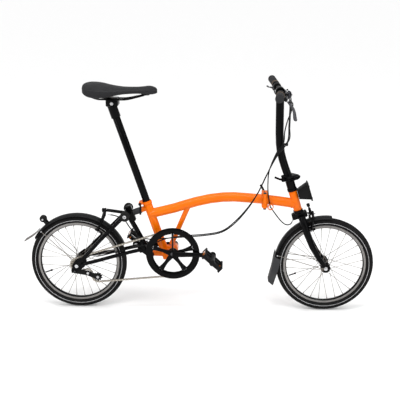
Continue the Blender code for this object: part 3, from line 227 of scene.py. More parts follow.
def plastic(name, colour, worn, roughness, grain=1500.0):
    made = Nodes(name, colour, roughness, Specular_IOR_Level=0.1)
    made.colour(made.mix(made.spread(made.noise(25.0, 6.0), 0, 1), colour, worn))
    made.roughness(made.spread(made.noise(45.0, 6.0), roughness - 0.07, roughness + 0.09))
    made.bump(made.noise(grain, 3.0), 0.00012, 0.5)
    return made.material


def rubber(name, colour, dusty, roughness=0.78, grain=900.0):
    made = Nodes(name, colour, roughness, Specular_IOR_Level=0.12)
    made.colour(made.mix(made.spread(made.noise(14.0, 8.0, 0.65), 0, 1), colour, dusty))
    made.roughness(made.spread(made.noise(30.0, 6.0), roughness - 0.12, roughness + 0.1))
    made.bump(made.cells(grain), 0.00015, 0.6)
    made.bump(made.noise(160.0, 5.0), 0.0002, 0.3)
    return made.material


def brushed(name, colour, dull, roughness, scale=(30.0, 700.0, 30.0), metallic=1.0):
    made = Nodes(name, colour, roughness, metallic)
    along = made.noise(1.0, 5.0, 0.6, made.stretched(scale))
    made.colour(made.mix(made.spread(along, 0, 1), colour, dull))
    patches = made.noise(22.0, 6.0)
    made.roughness(made.spread(patches, roughness - 0.06, roughness + 0.12))
    made.bump(along, 0.00006, 0.45)
    return made.material


def leather(name):
    made = Nodes(name, (0.022, 0.022, 0.025), 0.5, Specular_IOR_Level=0.22)
    grain = made.cells(520.0, "DISTANCE_TO_EDGE")
    creases = made.cells(210.0, "DISTANCE_TO_EDGE", made.stretched((1.0, 1.6, 1.0)))
    wear = made.spread(made.noise(18.0, 7.0, 0.6), 0, 1)
    shade = made.mix(wear, (0.006, 0.006, 0.0072), (0.012, 0.012, 0.0138))
    made.colour(made.mix(made.spread(grain, 1, 0, 0.0, 0.12), shade, (0.009, 0.009, 0.01)))
    made.roughness(made.spread(made.noise(35.0, 6.0), 0.42, 0.62))
    made.bump(made.spread(grain, 0, 1, 0.0, 0.18), 0.00035, 0.7)
    made.bump(made.spread(creases, 0, 1, 0.0, 0.1), 0.0003, 0.35)
    return made.material


def tyre_rubber(name, groove=False):
    made = Nodes(name, (0.016, 0.016, 0.016), 0.8, Specular_IOR_Level=0.1)
    dust = made.spread(made.noise(11.0, 9.0, 0.7), 0, 1, 0.35, 0.75)
    made.colour(made.mix(dust, (0.0048, 0.0048, 0.0052), (0.013, 0.0125, 0.012)))
    made.roughness(made.spread(made.noise(50.0, 6.0), 0.68, 0.9))
    made.bump(made.cells(700.0), 0.0002, 0.5)
    if groove:
        made.bump(made.noise(260.0, 3.0), 0.0004, 0.4)
    return made.material


def reflector(name, colour):
    made = Nodes(name, colour, 0.12, Coat_Weight=0.8, Coat_Roughness=0.03)
    prism = made.cells(260.0, "F1")
    made.colour(made.mix(made.spread(prism, 0, 1, 0.0, 0.9), colour, tuple(c * 0.35 for c in colour)))
    made.roughness(made.spread(made.noise(40.0), 0.08, 0.2))
    made.bump(prism, 0.0006, 0.5)
    return made.material


MATS = {
    "orange": paint("orange_paint_coat", (0.8, 0.15, 0.0006), (0.72, 0.124, 0.0004), 0.18, 0.12),
    "black": paint("black_paint_coat", (0.0022, 0.0022, 0.0025), (0.0012, 0.0012, 0.0015), 0.14, 0.045),
    "plastic": plastic("moulded_black", (0.003, 0.003, 0.0034), (0.006, 0.006, 0.0066), 0.4),
    "guard": plastic("guard_black", (0.004, 0.004, 0.0044), (0.0075, 0.0075, 0.008), 0.3, 900.0),
    "housing": plastic("cable_cover", (0.003, 0.003, 0.0034), (0.006, 0.006, 0.0066), 0.34, 2400.0),
    "rubber": rubber("soft_rubber", (0.006, 0.006, 0.0064), (0.012, 0.0118, 0.0114)),
    "grip": rubber("grip_rubber", (0.016, 0.016, 0.018), (0.028, 0.028, 0.029), 0.72, 1300.0),
    "collar": rubber("grip_collar", (0.075, 0.05, 0.034), (0.12, 0.085, 0.06), 0.6, 900.0),
    "flap": rubber("flap_rubber", (0.026, 0.027, 0.03), (0.044, 0.044, 0.045), 0.66, 700.0),
    "flap_rear": rubber("flap_rubber_rear", (0.115, 0.105, 0.1), (0.17, 0.158, 0.15), 0.66, 700.0),
    "tyre": tyre_rubber("tyre_wall"),
    "tread": tyre_rubber("tyre_tread", True),
    "stripe": brushed("tyre_line", (0.62, 0.62, 0.63), (0.4, 0.4, 0.41), 0.45, (80.0, 80.0, 80.0), 0.2),
    "track": brushed("rim_track", (0.3, 0.29, 0.28), (0.19, 0.18, 0.175), 0.4, (260.0, 40.0, 260.0)),
    "rim_black": paint("rim_edge", (0.006, 0.006, 0.0065), (0.0035, 0.0035, 0.004), 0.26, 0.1),
    "spoke": brushed("spoke_wire", (0.24, 0.22, 0.2), (0.15, 0.135, 0.12), 0.3, (300.0, 300.0, 300.0)),
    "steel": brushed("bright_steel", (0.66, 0.66, 0.67), (0.46, 0.46, 0.47), 0.24, (120.0, 500.0, 120.0)),
    "dark_steel": brushed(
        "dark_steel", (0.085, 0.085, 0.09), (0.045, 0.045, 0.048), 0.32, (120.0, 500.0, 120.0)
    ),
    "alloy": brushed("lever_alloy", (0.1, 0.1, 0.11), (0.045, 0.045, 0.05), 0.3, (60.0, 600.0, 60.0)),
    "chain": brushed("chain_plate", (0.4, 0.36, 0.3), (0.2, 0.18, 0.15), 0.34, (500.0, 500.0, 500.0)),
    "bell": brushed("bell_dome", (0.035, 0.035, 0.04), (0.02, 0.02, 0.024), 0.15, (200.0, 200.0, 200.0)),
    "leather": leather("saddle_leather"),
    "thread": plastic("saddle_thread", (0.03, 0.03, 0.032), (0.05, 0.05, 0.052), 0.7, 3000.0),
    "amber": reflector("amber_lens", (1.0, 0.27, 0.015)),
    "elastomer": rubber("spring_rubber", (0.016, 0.016, 0.018), (0.03, 0.03, 0.032), 0.42, 1100.0),
}

# Mesh building


def frames_along(points):
    """A moving pair of cross directions for each point of a path, with no sudden twist."""
    padded = [points[0], *points, points[-1]]
    tangents = [(after - before).normalized() for before, after in zip(padded, padded[2:])]
    helper = Vector((0, 0, 1)) if abs(tangents[0].z) < 0.9 else Vector((0, 1, 0))
    side = tangents[0].cross(helper).normalized()
    pairs = []
    for tangent in tangents:
        side = (side - tangent * side.dot(tangent)).normalized()
        pairs.append((side, tangent.cross(side)))
    return pairs


def curve_through(a, b, c, d, t):
    """The point at share t of the way from b to c, on a smooth curve through all four."""
    bend = 2 * a - 5 * b + 4 * c - d
    return 0.5 * (2 * b + (c - a) * t + bend * t * t + (3 * b - a - 3 * c + d) * t**3)


def smooth_path(points, step=0.006):
    """Evenly dense points on a smooth curve through the given points."""
    points = [Vector(p) for p in points]
    made = []
    for index in range(len(points) - 1):
        b, c = points[index : index + 2]
        a = points[index - 1] if index else b * 2 - c
        d = points[index + 2] if index + 2 < len(points) else c * 2 - b
        steps = max(2, int((c - b).length / step))
        made += [curve_through(a, b, c, d, k / steps) for k in range(steps)]
    made.append(points[-1])
    return made


class Shape:
    """Collects closed solids in world coordinates and makes one object of them."""

    def __init__(self, name):
        self.name, self.verts, self.faces, self.marks, self.mats = name, [], [], [], []

    def add(self, verts, faces, mat):
        """Adds a solid; mat names one material, or lists one name for each face."""
        base = len(self.verts)
        self.verts += [Vector(v) for v in verts]
        self.faces += [[base + i for i in face] for face in faces]
        for name in [mat] * len(faces) if isinstance(mat, str) else mat:
            if name not in self.mats:
                self.mats.append(name)
            self.marks.append(self.mats.index(name))

    def loft(self, verts, sides, mat, ends=None):
        """A skin over rows of sides points each, closed by the faces in ends or by one face at each end."""
        count = len(verts) // sides
        faces = []
        for near in range(0, (count - 1) * sides, sides):
            far = near + sides
            for k in range(sides):
                follow = (k + 1) % sides
                faces.append((near + k, near + follow, far + follow, far + k))
        last = (count - 1) * sides
        faces += ends or [tuple(range(sides)), tuple(reversed(range(last, last + sides)))]
        self.add(verts, faces, mat)

    def tube(self, points, radius, mat, sides=16, radii=None, flat=(1.0, 1.0)):
        points = [Vector(p) for p in points]
        verts = []
        for index, (point, (u, v)) in enumerate(zip(points, frames_along(points))):
            size = radii[index] if radii else radius
            for k in range(sides):
                angle = 2 * pi * k / sides
                verts.append(point + u * (size * flat[0] * cos(angle)) + v * (size * flat[1] * sin(angle)))
        self.loft(verts, sides, mat)

    def rod(self, start, end, radius, mat, sides=20, end_radius=None, round_off=0.0):
        start, end = Vector(start), Vector(end)
        last = radius if end_radius is None else end_radius
        length = (end - start).length
        profile = [(0, 0), (radius - round_off, 0), (radius, round_off), (last, length - round_off)]
        profile += [(last - round_off, length), (0, length)]
        if not round_off:
            profile = [(0, 0), (radius, 0), (last, length), (0, length)]
        self.turned(profile, start, end - start, mat, sides)

    def turned(self, profile, origin, axis, mat, steps=48, pick=None):
        """The (radius, height) profile turned about axis: a ring, unless its ends are at radius 0."""
        axis = Vector(axis).normalized()
        u = axis.orthogonal().normalized()
        v = axis.cross(u)
        closed = not (profile[0][0] == 0 and profile[-1][0] == 0)
        verts, rows = [], []
        for r, h in profile:
            if r == 0:
                rows.append([len(verts)] * steps)
                verts.append(Vector(origin) + axis * h)
                continue
            rows.append(list(range(len(verts), len(verts) + steps)))
            for k in range(steps):
                angle = 2 * pi * k / steps
                verts.append(Vector(origin) + axis * h + (u * cos(angle) + v * sin(angle)) * r)
        faces, names = [], []
        for index in range(len(rows) if closed else len(rows) - 1):
            first, second = rows[index], rows[(index + 1) % len(rows)]
            for k in range(steps):
                follow = (k + 1) % steps
                face = list(dict.fromkeys((first[k], first[follow], second[follow], second[k])))
                if len(face) > 2:
                    faces.append(face)
                    names.append(pick[index] if pick else mat)
        self.add(verts, faces, names)

    def loop_plate(self, outer, inner, low, high, mat):
        """A plate with a hole, standing across Y; both outlines have the same number of (x, z) points."""
        verts, faces, count = [], [], len(outer)
        for outline in (outer, inner):
            for y in (low, high):
                verts += [(x, y, z) for x, z in outline]
        for k in range(count):
            n = (k + 1) % count
            faces.append((k, n, count + n, count + k))
            faces.append((2 * count + k, 3 * count + k, 3 * count + n, 2 * count + n))
            faces.append((k, 2 * count + k, 2 * count + n, n))
            faces.append((count + k, count + n, 3 * count + n, 3 * count + k))
        self.add(verts, faces, mat)

    def plate(self, outline, low, high, mat, matrix=None):
        """A flat plate: outline is (x, z) points, from y = low to y = high, then moved by matrix."""
        count = len(outline)
        verts = [Vector((x, low, z)) for x, z in outline] + [Vector((x, high, z)) for x, z in outline]
        if matrix:
            verts = [matrix @ v for v in verts]
        faces = [tuple(range(count)), tuple(reversed(range(count, 2 * count)))]
        faces += [(k, k + count, (k + 1) % count + count, (k + 1) % count) for k in range(count)]
        self.add(verts, faces, mat)

    def block(self, size, centre, mat, matrix=None):
        x, y, z = (side / 2 for side in size)
        outline = [(-x, -z), (x, -z), (x, z), (-x, z)]
        self.plate(outline, -y, y, mat, Matrix.Translation(centre) @ (matrix or Matrix.Identity(4)))

    def bolt(self, place, axis, radius, mat="steel", height=0.004):
        """A hexagon socket screw head with its recess, on a thin washer."""
        place, axis = Vector(place), Vector(axis).normalized()
        self.turned(ring(0, radius * 1.35, 0, 0.0008), place, axis, mat, 24)
        head = [(0, 0.0006), (radius, 0.0006), (radius, height * 0.8), (radius * 0.85, height)]
        head += [(radius * 0.52, height), (radius * 0.5, height * 0.4), (0, height * 0.4)]
        self.turned(head, place, axis, mat, 24)

    def nut(self, place, axis, radius, mat="steel", height=0.005):
        """A six-sided nut with a domed end."""
        place, axis = Vector(place), Vector(axis).normalized()
        self.turned(ring(0, radius, 0, height), place, axis, mat, 6)
        foot = height - 0.0002
        dome = [(0, foot), (radius * 0.62, foot), (radius * 0.5, height * 1.5), (0, height * 1.75)]
        self.turned(dome, place, axis, mat, 20)

    def done(self, body, slot=None, replaces=(), bevel=0.0, angle=38, blend=None):
        mesh = bpy.data.meshes.new(self.name)
        mesh.from_pydata(self.verts, [], self.faces)
        for name in self.mats:
            mesh.materials.append(MATS[name])
        mesh.polygons.foreach_set("material_index", self.marks)
        work = bmesh.new()
        work.from_mesh(mesh)
        bmesh.ops.recalc_face_normals(work, faces=work.faces)
        work.to_mesh(mesh)
        work.free()
        mesh.shade_smooth()
        if not bevel:
            mesh.set_sharp_from_angle(angle=radians(angle))
        obj = bpy.data.objects.new(self.name, mesh)
        bpy.context.scene.collection.objects.link(obj)
        if bevel:
            round_edges(obj, bevel, angle)
        if blend:
            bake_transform(obj)
        else:
            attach(obj, body)
        if replaces:
            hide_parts(*replaces)
        return obj



def soften(obj):
    smooth = obj.modifiers.new("soften", "SUBSURF")
    smooth.levels = smooth.render_levels = 1


def round_edges(obj, width, angle=38):
    """Rounds the sharp edges of a piece with a bevel modifier."""
    edge = obj.modifiers.new("round", "BEVEL")
    edge.width = width
    edge.segments = 2
    edge.limit_method = "ANGLE"
    edge.angle_limit = radians(angle)
    edge.harden_normals = True


# Wheels


def tyre(prefix, axle, body):
    """Tyre with shoulder ribs, centre grooves and a thin bright line on each wall."""
    shape = Shape(prefix + "_tyre_full")
    profile, pick = [], []
    for step in range(61):
        angle = 138 - 276 * step / 60
        side = abs(angle)
        radius = TYRE_R
        mark = "tyre"
        if side < 64:
            mark = "tread"
            radius -= 0.0009 if (side % 16) > 11.5 else 0.0
        elif 96 < side < 101:
            mark = "stripe"
        profile.append((TYRE_MIDDLE + radius * cos(radians(angle)), radius * sin(radians(angle))))
        pick.append(mark)
    profile += [(RIM_OUTER + 0.0004, -0.0085), (RIM_OUTER + 0.0004, 0.0085)]
    pick += ["tyre", "tyre"]
    shape.turned(profile, axle, ALONG_Y, "tyre", 120, pick)
    for step in range(60):
        for side in (-1, 1):
            at = 2 * pi * (step + (0.25 if side > 0 else 0)) / 60
            lug = radians(72)
            out = TYRE_MIDDLE + 0.0168 * cos(lug)
            middle = axle + radial(at, out, side * 0.0163 * sin(lug))
            turn = Matrix.Rotation(-at, 4, "Y") @ Matrix.Rotation(side * (pi / 2 - lug), 4, "Z")
            shape.block((0.0022, 0.005, 0.0085), middle, "tread", turn)
    shape.done(body, "tyre_rubber", [prefix + "_tyre"], angle=50)


def rim(prefix, axle, body):
    """Box-section rim with brushed brake tracks, black inner edge, spoke nipples and a valve."""
    shape = Shape(prefix + "_rim_full")
    half = [
        (RIM_OUTER - 0.003, 0.0, "rim_black"),
        (RIM_OUTER - 0.003, 0.007, "rim_black"),
        (RIM_OUTER, 0.0078, "track"),
        (RIM_OUTER, 0.0094, "track"),
        (RIM_OUTER - 0.0008, 0.01, "track"),
        (RIM_OUTER - 0.0092, 0.01, "rim_black"),
        (RIM_OUTER - 0.0098, 0.0094, "rim_black"),
        (RIM_INNER + 0.001, 0.0062, "rim_black"),
        (RIM_INNER, 0.005, "rim_black"),
        (RIM_INNER - 0.0002, 0.0, "rim_black"),
    ]
    profile = [(r, y) for r, y, _ in half] + [(r, -y) for r, y, _ in reversed(half[1:-1])]
    pick = [m for _, _, m in half[:-1]] + [m for _, _, m in reversed(half[:-1])]
    shape.turned(profile, axle, ALONG_Y, "rim_black", 120, pick)
    for spoke in range(SPOKES):
        at = radians(360 / SPOKES * (spoke + 0.5))
        low, high = axle + radial(at, RIM_INNER - 0.009), axle + radial(at, RIM_INNER + 0.0006)
        shape.rod(low, high, 0.0016, "spoke", 10, 0.002)

    def valve(depth):
        return axle + radial(radians(200), RIM_INNER - depth)

    shape.rod(valve(0.03), valve(-0.0006), 0.003, "dark_steel", 14)
    shape.rod(valve(0.036), valve(0.029), 0.0042, "rubber", 14, round_off=0.001)
    shape.rod(valve(0.004), valve(0.001), 0.0048, "steel", 6)
    shape.done(body, "aluminium", [prefix + "_rim"])


def hub(prefix, axle, hub_half, flange_half, body):
    """Hub shell with flanges, and the laced spokes with their heads."""
    shape = Shape(prefix + "_hub_full")
    f = flange_half
    side = [(0.0046, hub_half), (0.008, hub_half), (0.0085, hub_half - 0.0012), (0.0085, f + 0.006)]
    side += [(0.012, f + 0.0052), (0.0132, f + 0.002), (0.0195, f + 0.001), (0.0205, f - 0.0002)]
    side += [(0.0205, f - 0.0028), (0.0195, f - 0.004), (0.015, f - 0.0052)]
    side += [(0.012, f - 0.009), (0.0112, f - 0.016)]
    shape.turned(mirrored(side), axle, ALONG_Y, "rim_black", 40)
    for spoke in range(SPOKES):
        sign = 1 if spoke % 2 else -1
        lean = 55 if (spoke // 2) % 2 else -55
        end_angle = radians(360 / SPOKES * (spoke + 0.5))
        hub_angle = end_angle + radians(lean)
        face = sign * (f - 0.0015 + (0.0022 if (spoke // 2) % 2 else -0.0022))
        root = axle + radial(hub_angle, 0.0172, face)
        tip = axle + radial(end_angle, RIM_INNER - 0.006)
        bend = root + (tip - root).normalized() * 0.004
        inner = Vector((root.x, sign * (f - 0.0015), root.z))
        shape.tube([inner, root, bend, tip], 0.00105, "spoke", 8)
        head = root + Vector((0, sign * (0.001 if (spoke // 2) % 2 else -0.001), 0))
        shape.rod(root, head, 0.0022, "spoke", 10, 0.0014)
    shape.done(body, "steel", [prefix + "_hub"])


def axle_nuts(name, axle, half, body):
    shape = Shape(name)
    for side in (-1, 1):
        face = axle + ALONG_Y * side * half
        out = ALONG_Y * side
        cover = [(0.006, -0.0002), (0.019, -0.0002), (0.0198, 0.0006), (0.019, 0.0016), (0.006, 0.0026)]
        shape.turned(cover, face, out, "black", 44)
        shape.turned(ring(0.0052, 0.0098, 0, 0.0012), face, out, "steel", 28)
        shape.nut(face + out * 0.001, out, 0.0085, "steel", 0.0052)
    shape.done(body, "steel", bevel=0.0004)


for prefix, axle, body in (("front", FRONT_AXLE, "front_wheel"), ("rear", REAR_AXLE, "rear_wheel")):
    tyre(prefix, axle, body)
    rim(prefix, axle, body)
hub("front", FRONT_AXLE, 0.0425, 0.03, "front_wheel")
hub("rear", REAR_AXLE, 0.055, 0.028, "rear_wheel")
axle_nuts("front_axle_nuts", FRONT_AXLE, 0.0545, "fork")
axle_nuts("rear_axle_nuts", REAR_AXLE, 0.0618, "rear_frame")

# Saddle


def saddle():
    sections = [
        (-0.4745, 0.03, 0.9735, 0.957, 0.95),
        (-0.469, 0.057, 0.979, 0.948, 0.942),
        (-0.445, 0.077, 0.9835, 0.937, 0.93),
        (-0.405, 0.079, 0.981, 0.933, 0.9255),
        (-0.36, 0.064, 0.9715, 0.937, 0.93),
        (-0.31, 0.043, 0.9655, 0.943, 0.938),
        (-0.25, 0.028, 0.966, 0.944, 0.94),
        (-0.205, 0.0235, 0.9705, 0.941, 0.9365),
        (-0.182, 0.0165, 0.9655, 0.942, 0.9385),
        (-0.1725, 0.008, 0.957, 0.944, 0.942),
    ]

    def row(t):
        span = min(int(t), len(sections) - 2)
        u = t - span
        a = sections[max(span - 1, 0)]
        b, c = sections[span], sections[span + 1]
        d = sections[min(span + 2, len(sections) - 1)]
        return [curve_through(*values, u) for values in zip(a, b, c, d)]

    rows, sides = 64, 56
    verts = []
    for index in range(rows):
        x, half, top, edge, low = row((len(sections) - 1) * index / (rows - 1))
        for k in range(sides):
            angle = 2 * pi * k / sides
            c, s = cos(angle), sin(angle)
            across = half * (abs(c) ** 0.62) * (1 if c >= 0 else -1)
            if s >= 0:
                height = edge + (top - edge) * s**0.72
                dip = 0.0016 * max(0.0, 1 - (across / 0.012) ** 2) * min(1.0, max(0.0, (x + 0.46) / 0.05))
                height -= dip if x < -0.22 else 0
            else:
                height = edge - (edge - low) * (-s) ** 0.6
                across *= 1 - 0.18 * (-s)
            verts.append((x, across, height))
    shape = Shape("saddle_cover")
    shape.loft(verts, sides, "leather")
    cover = shape.done("seatpost", "saddle_cover", ["saddle"], angle=70)
    soften(cover)

    seam = Shape("saddle_seam")
    for side in (-1, 1):
        line = []
        for index in range(1, 61):
            x, half, top, edge, low = row((len(sections) - 1) * index / 61)
            angle = radians(24)
            y = side * (half * cos(angle) ** 0.62 + 0.0001)
            line.append((x, y, edge + (top - edge) * sin(angle) ** 0.72))
        seam.tube(line, 0.0009, "thread", 8)
    seam.done("seatpost", "saddle_cover")

    base = Shape("saddle_base")
    tab = [(-0.46, 0.93), (-0.44, 0.93), (-0.436, 0.942), (-0.464, 0.944)]
    base.plate(tab, -0.02, 0.02, "plastic")
    nose = [(-0.233, 0.931), (-0.205, 0.933), (-0.195, 0.942), (-0.24, 0.944)]
    base.plate(nose, -0.012, 0.012, "plastic")
    base.done("seatpost", "black_plastic", bevel=0.002)


saddle()


def saddle_hardware():
    shape = Shape("saddle_rails_full")
    rails = [(-0.448, 0.036, 0.933), (-0.42, 0.027, 0.9205), (-0.4, 0.022, 0.917), (-0.35, 0.022, 0.917)]
    rails += [(-0.3, 0.022, 0.917), (-0.255, 0.016, 0.926), (-0.225, 0.008, 0.933)]
    for side in (-1, 1):
        shape.tube(smooth_path([(x, side * y, z) for x, y, z in rails]), 0.0035, "black", 16)
    shape.done("seatpost", "black_paint", ["saddle_rails"])
    bolts = Shape("saddle_clamp_bolts")
    for side in (-1, 1):
        bolts.bolt((-0.356, side * 0.0312, 0.901), (0, side, 0), 0.005, "steel", 0.005)
    bolts.done("seatpost", "steel", bevel=0.0003)


saddle_hardware()


# Handlebar


def grips():
    for side, name in SIDES:
        start, end = bar_point(side * 0.16), bar_point(side * 0.279)
        axis = (end - start).normalized()
        length = (end - start).length
        shape = Shape("grip_" + name + "_full")
        inner = BAR_SLEEVE
        profile = [(inner, 0.0), (0.016, 0.0), (0.017, 0.0012), (0.017, 0.0052), (0.016, 0.0062)]
        shape.turned(profile + [(inner, 0.0062)], start, axis, "collar", 48)
        outline = [(inner, 0.0064), (0.015, 0.0064)]
        ribs = 15
        for k in range(ribs):
            low = 0.0085 + (length - 0.018) * k / ribs
            pitch = (length - 0.018) / ribs
            belly = 0.0004 * sin(pi * k / (ribs - 1))
            outline += [(0.0151 + belly, low), (0.0158 + belly, low + pitch * 0.18)]
            outline += [(0.0158 + belly, low + pitch * 0.7), (0.0151 + belly, low + pitch * 0.86)]
        outline += [(0.0158, length - 0.008), (0.0165, length - 0.006), (0.0165, length - 0.001)]
        outline += [(0.0155, length + 0.0006), (inner, length + 0.0006)]
        shape.turned(outline, start, axis, "grip", 48)
        cap = [(0, length + 0.0004), (0.0154, length + 0.0004), (0.015, length + 0.0022)]
        cap += [(0.01, length + 0.0034), (0, length + 0.0036)]
        shape.turned(cap, start, axis, "grip", 40)
        shape.done("stem", "rubber", ["grip_" + name])


grips()


def brake_pivot(side):
    return bar_point(side * 0.148) + Vector((0.0345, side * 0.006, -0.026))


LEVER_CURVE = [
    (-0.002, -0.006, 0.002), (0.006, 0.012, -0.009), (0.013, 0.03, -0.018), (0.0165, 0.052, -0.028),
    (0.017, 0.074, -0.0385), (0.0172, 0.092, -0.0475), (0.019, 0.098, -0.0505),
]


def brake_levers():
    for side, name in SIDES:
        pivot = brake_pivot(side)
        blade = Shape("brake_lever_" + name + "_full")
        path = smooth_path([pivot + Vector((x, side * y, z)) for x, y, z in LEVER_CURVE], 0.004)
        shares = [index / (len(path) - 1) for index in range(len(path))]
        sizes = [0.0072 - 0.0012 * sin(pi * min(1, share * 1.2)) for share in shares]
        blade.tube(path, 0.007, "alloy", 20, sizes, flat=(1.0, 0.55))
        knob = [(0, -0.0046), (0.003, -0.0036), (0.0045, 0), (0.003, 0.0036), (0, 0.0046)]
        blade.turned(knob, path[-1], path[-1] - path[-3], "alloy", 20)
        blade.done("brake_lever_" + name, "aluminium", ["brake_lever_" + name], angle=60)
        mount = Shape("lever_bracket_" + name)
        axis = (bar_point(side * 0.15) - bar_point(side * 0.146)).normalized()
        at = bar_point(side * 0.148)
        mount.turned(band(BAR_SLEEVE, 0.016, 0.008, 0.001, 0.0012), at, axis, "plastic", 40)
        steps = ((0.01, 0, -0.008), (0.02, side * 0.001, -0.0155), (0.0265, side * 0.003, -0.0205))
        reach = [at + Vector(step) for step in steps]
        mount.tube(reach, 0.0075, "plastic", 16, [0.0085, 0.0075, 0.006], flat=(0.8, 1.0))
        barrel = at + Vector((0.02, side * -0.01, -0.013))
        mouth = barrel + Vector((0.003, side * -0.012, 0.001))
        mount.rod(barrel + ALONG_Y * side * 0.008, mouth, 0.0042, "dark_steel", 20, round_off=0.0006)
        mount.done("stem", "black_plastic", ["lever_mount_" + name], angle=50)
        screw = Shape("lever_pivot_" + name)
        up = Vector((0.66, 0, 0.75)).normalized()
        screw.bolt(pivot + up * 0.0052, up, 0.0036, "dark_steel", 0.0024)
        screw.done("stem", "steel")


brake_levers()


def bell():
    shape = Shape("bell_full")
    at = bar_point(-0.09)
    shape.turned(band(BAR_SLEEVE, 0.015, 0.005, 0.0008, 0.0008), at, ALONG_Y, "plastic", 40)
    out = Vector((1, 0, 0))
    shape.rod(at + out * 0.0125, at + out * 0.03 + Vector((0, 0, -0.001)), 0.005, "plastic", 20)
    centre = at + Vector((0.0275, 0, -0.002))
    dome = [(0, 0.0000), (0.0165, 0.0000), (0.0175, 0.0008), (0.0176, 0.0026), (0.0164, 0.0075)]
    dome += [(0.0136, 0.0116), (0.0092, 0.0146), (0.0048, 0.016), (0.0, 0.0164)]
    shape.turned(dome, centre, out, "bell", 56)
    stud = [(0, 0.016), (0.003, 0.016), (0.003, 0.0176), (0.0022, 0.0182), (0, 0.0184)]
    shape.turned(stud, centre, out, "dark_steel", 24)
    striker = ((-0.006, 0, 0.002), (-0.006, 0.01, 0.014), (-0.002, 0.012, 0.0185))
    shape.tube(smooth_path([centre + Vector(step) for step in striker], 0.003), 0.0013, "dark_steel", 10)
    knob = [centre + Vector(step) for step in ((-0.004, 0.012, 0.018), (0.002, 0.0125, 0.019))]
    shape.rod(*knob, 0.003, "plastic", 14, round_off=0.0008)
    shape.done("stem", "steel", ["bell"])


bell()


def shifter():
    shape = Shape("shifter_pod_full")
    at = bar_point(0.112)
    axis = (bar_point(0.114) - bar_point(0.11)).normalized()
    shape.turned(band(BAR_SLEEVE, 0.0163, 0.011, 0.0013, 0.0018), at, axis, "plastic", 44)
    neck = [at + Vector(step) for step in ((-0.012, 0, -0.006), (-0.0205, 0, -0.01))]
    shape.rod(*neck, 0.008, "plastic", 24, 0.0074, 0.001)
    barrel = [at + Vector(step) for step in ((0, -0.004, -0.015), (-0.004, -0.016, -0.009))]
    shape.rod(*barrel, 0.0036, "dark_steel", 16)
    shape.done("stem", "black_plastic", ["shifter_pod"], angle=50)
    centre = at + Vector((-0.024, 0, -0.004))
    paddle = Shape("shifter_lever_full")
    up = Vector((0.3, 0, 1)).normalized()
    paddle.turned(band(0, 0.006, 0.003, 0.0004, 0.0006), centre, up, "alloy", 28)
    blade = ((0, 0, 0), (-0.01, 0.012, 0), (-0.0145, 0.022, 0.001), (-0.016, 0.03, 0.002))
    path = smooth_path([centre + Vector(step) for step in blade], 0.003)
    sizes = [0.0036 + 0.0012 * k / len(path) for k in range(len(path))]
    paddle.tube(path, 0.004, "alloy", 16, sizes, flat=(1.0, 0.55))
    paddle.done("shifter_lever", "aluminium", ["shifter_lever"], angle=60)


shifter()

# Drive


def belt_path(wheels, arc_step=5.0):
    """Points along a belt that goes round the wheels in turn: +1 turns clockwise, -1 anticlockwise."""
    points, joints, count = [], [], len(wheels)
    for index in range(count):
        (ax, az), ra, sa = wheels[index]
        (bx, bz), rb, sb = wheels[(index + 1) % count]
        heading = atan2(bz - az, bx - ax)
        distance = sqrt((bx - ax) ** 2 + (bz - az) ** 2)
        leave = heading + sa * acos((ra - rb if sa == sb else ra + rb) / distance)
        joints.append((leave, leave if sa == sb else leave + pi))
    for index in range(count):
        centre, radius, sense = wheels[index]
        start, end = joints[index - 1][1], joints[index][0]
        turn = (end - start) % (2 * pi)
        if sense > 0:
            turn -= 2 * pi
        steps = max(2, int(abs(turn) / radians(arc_step)))
        for k in range(steps + 1):
            angle = start + turn * k / steps
            points.append(Vector((centre[0], 0, centre[1])) + radial(angle, radius, CHAINLINE))
    return points


def even_loop(points, count):
    """count points at equal distances round a closed path."""
    lengths = [0.0]
    for index in range(len(points)):
        lengths.append(lengths[-1] + (points[(index + 1) % len(points)] - points[index]).length)
    made, index = [], 0
    for k in range(count):
        want = lengths[-1] * k / count
        while lengths[index + 1] < want:
            index += 1
        share = (want - lengths[index]) / max(1e-9, lengths[index + 1] - lengths[index])
        made.append(points[index].lerp(points[(index + 1) % len(points)], share))
    return made, lengths[-1]


def chain():
    """Roller chain: figure-eight outer and inner plates in turn, with a roller and a pin at each joint."""
    play = CHAIN_HALF + CHAIN_PLAY
    wheels = [
        ((CRANK_AXIS.x, CRANK_AXIS.z), CHAINRING_R + play, -1),
        ((REAR_AXLE.x, REAR_AXLE.z), SPROCKET_R + play, -1),
        ((GUIDE_WHEEL.x, GUIDE_WHEEL.z), GUIDE_WHEEL_R + play, 1),
        ((JOCKEY.x, JOCKEY.z), JOCKEY_R + play, -1),
    ]
    path = belt_path(wheels)
    _, total = even_loop(path, 10)
    count = 2 * round(total / CHAIN_PITCH / 2)
    joints, _ = even_loop(path, count)
    shape = Shape("chain_links")
    for index in range(count):
        a, b = joints[index], joints[(index + 1) % count]
        middle = (a + b) / 2
        reach = (b - a).length / 2
        angle = atan2(b.z - a.z, b.x - a.x)
        outline = []
        for k in range(8):
            t = radians(-90 + 180 * k / 7)
            outline.append((reach + 0.0038 * cos(t), 0.0038 * sin(t)))
        outline.append((0, 0.0027))
        for k in range(8):
            t = radians(90 + 180 * k / 7)
            outline.append((-reach + 0.0038 * cos(t), 0.0038 * sin(t)))
        outline.append((0, -0.0027))
        turn = Matrix.Translation(middle) @ Matrix.Rotation(-angle, 4, "Y")
        offset = 0.0026 if index % 2 else 0.0016
        for side in (-1, 1):
            y = side * offset
            shape.plate(outline, y - 0.00045, y + 0.00045, "chain", turn)
        shape.rod(a - ALONG_Y * 0.0032, a + ALONG_Y * 0.0032, 0.0017, "steel", 10)
        shape.rod(a - ALONG_Y * 0.0011, a + ALONG_Y * 0.0011, 0.0034, "chain", 12)
    return shape


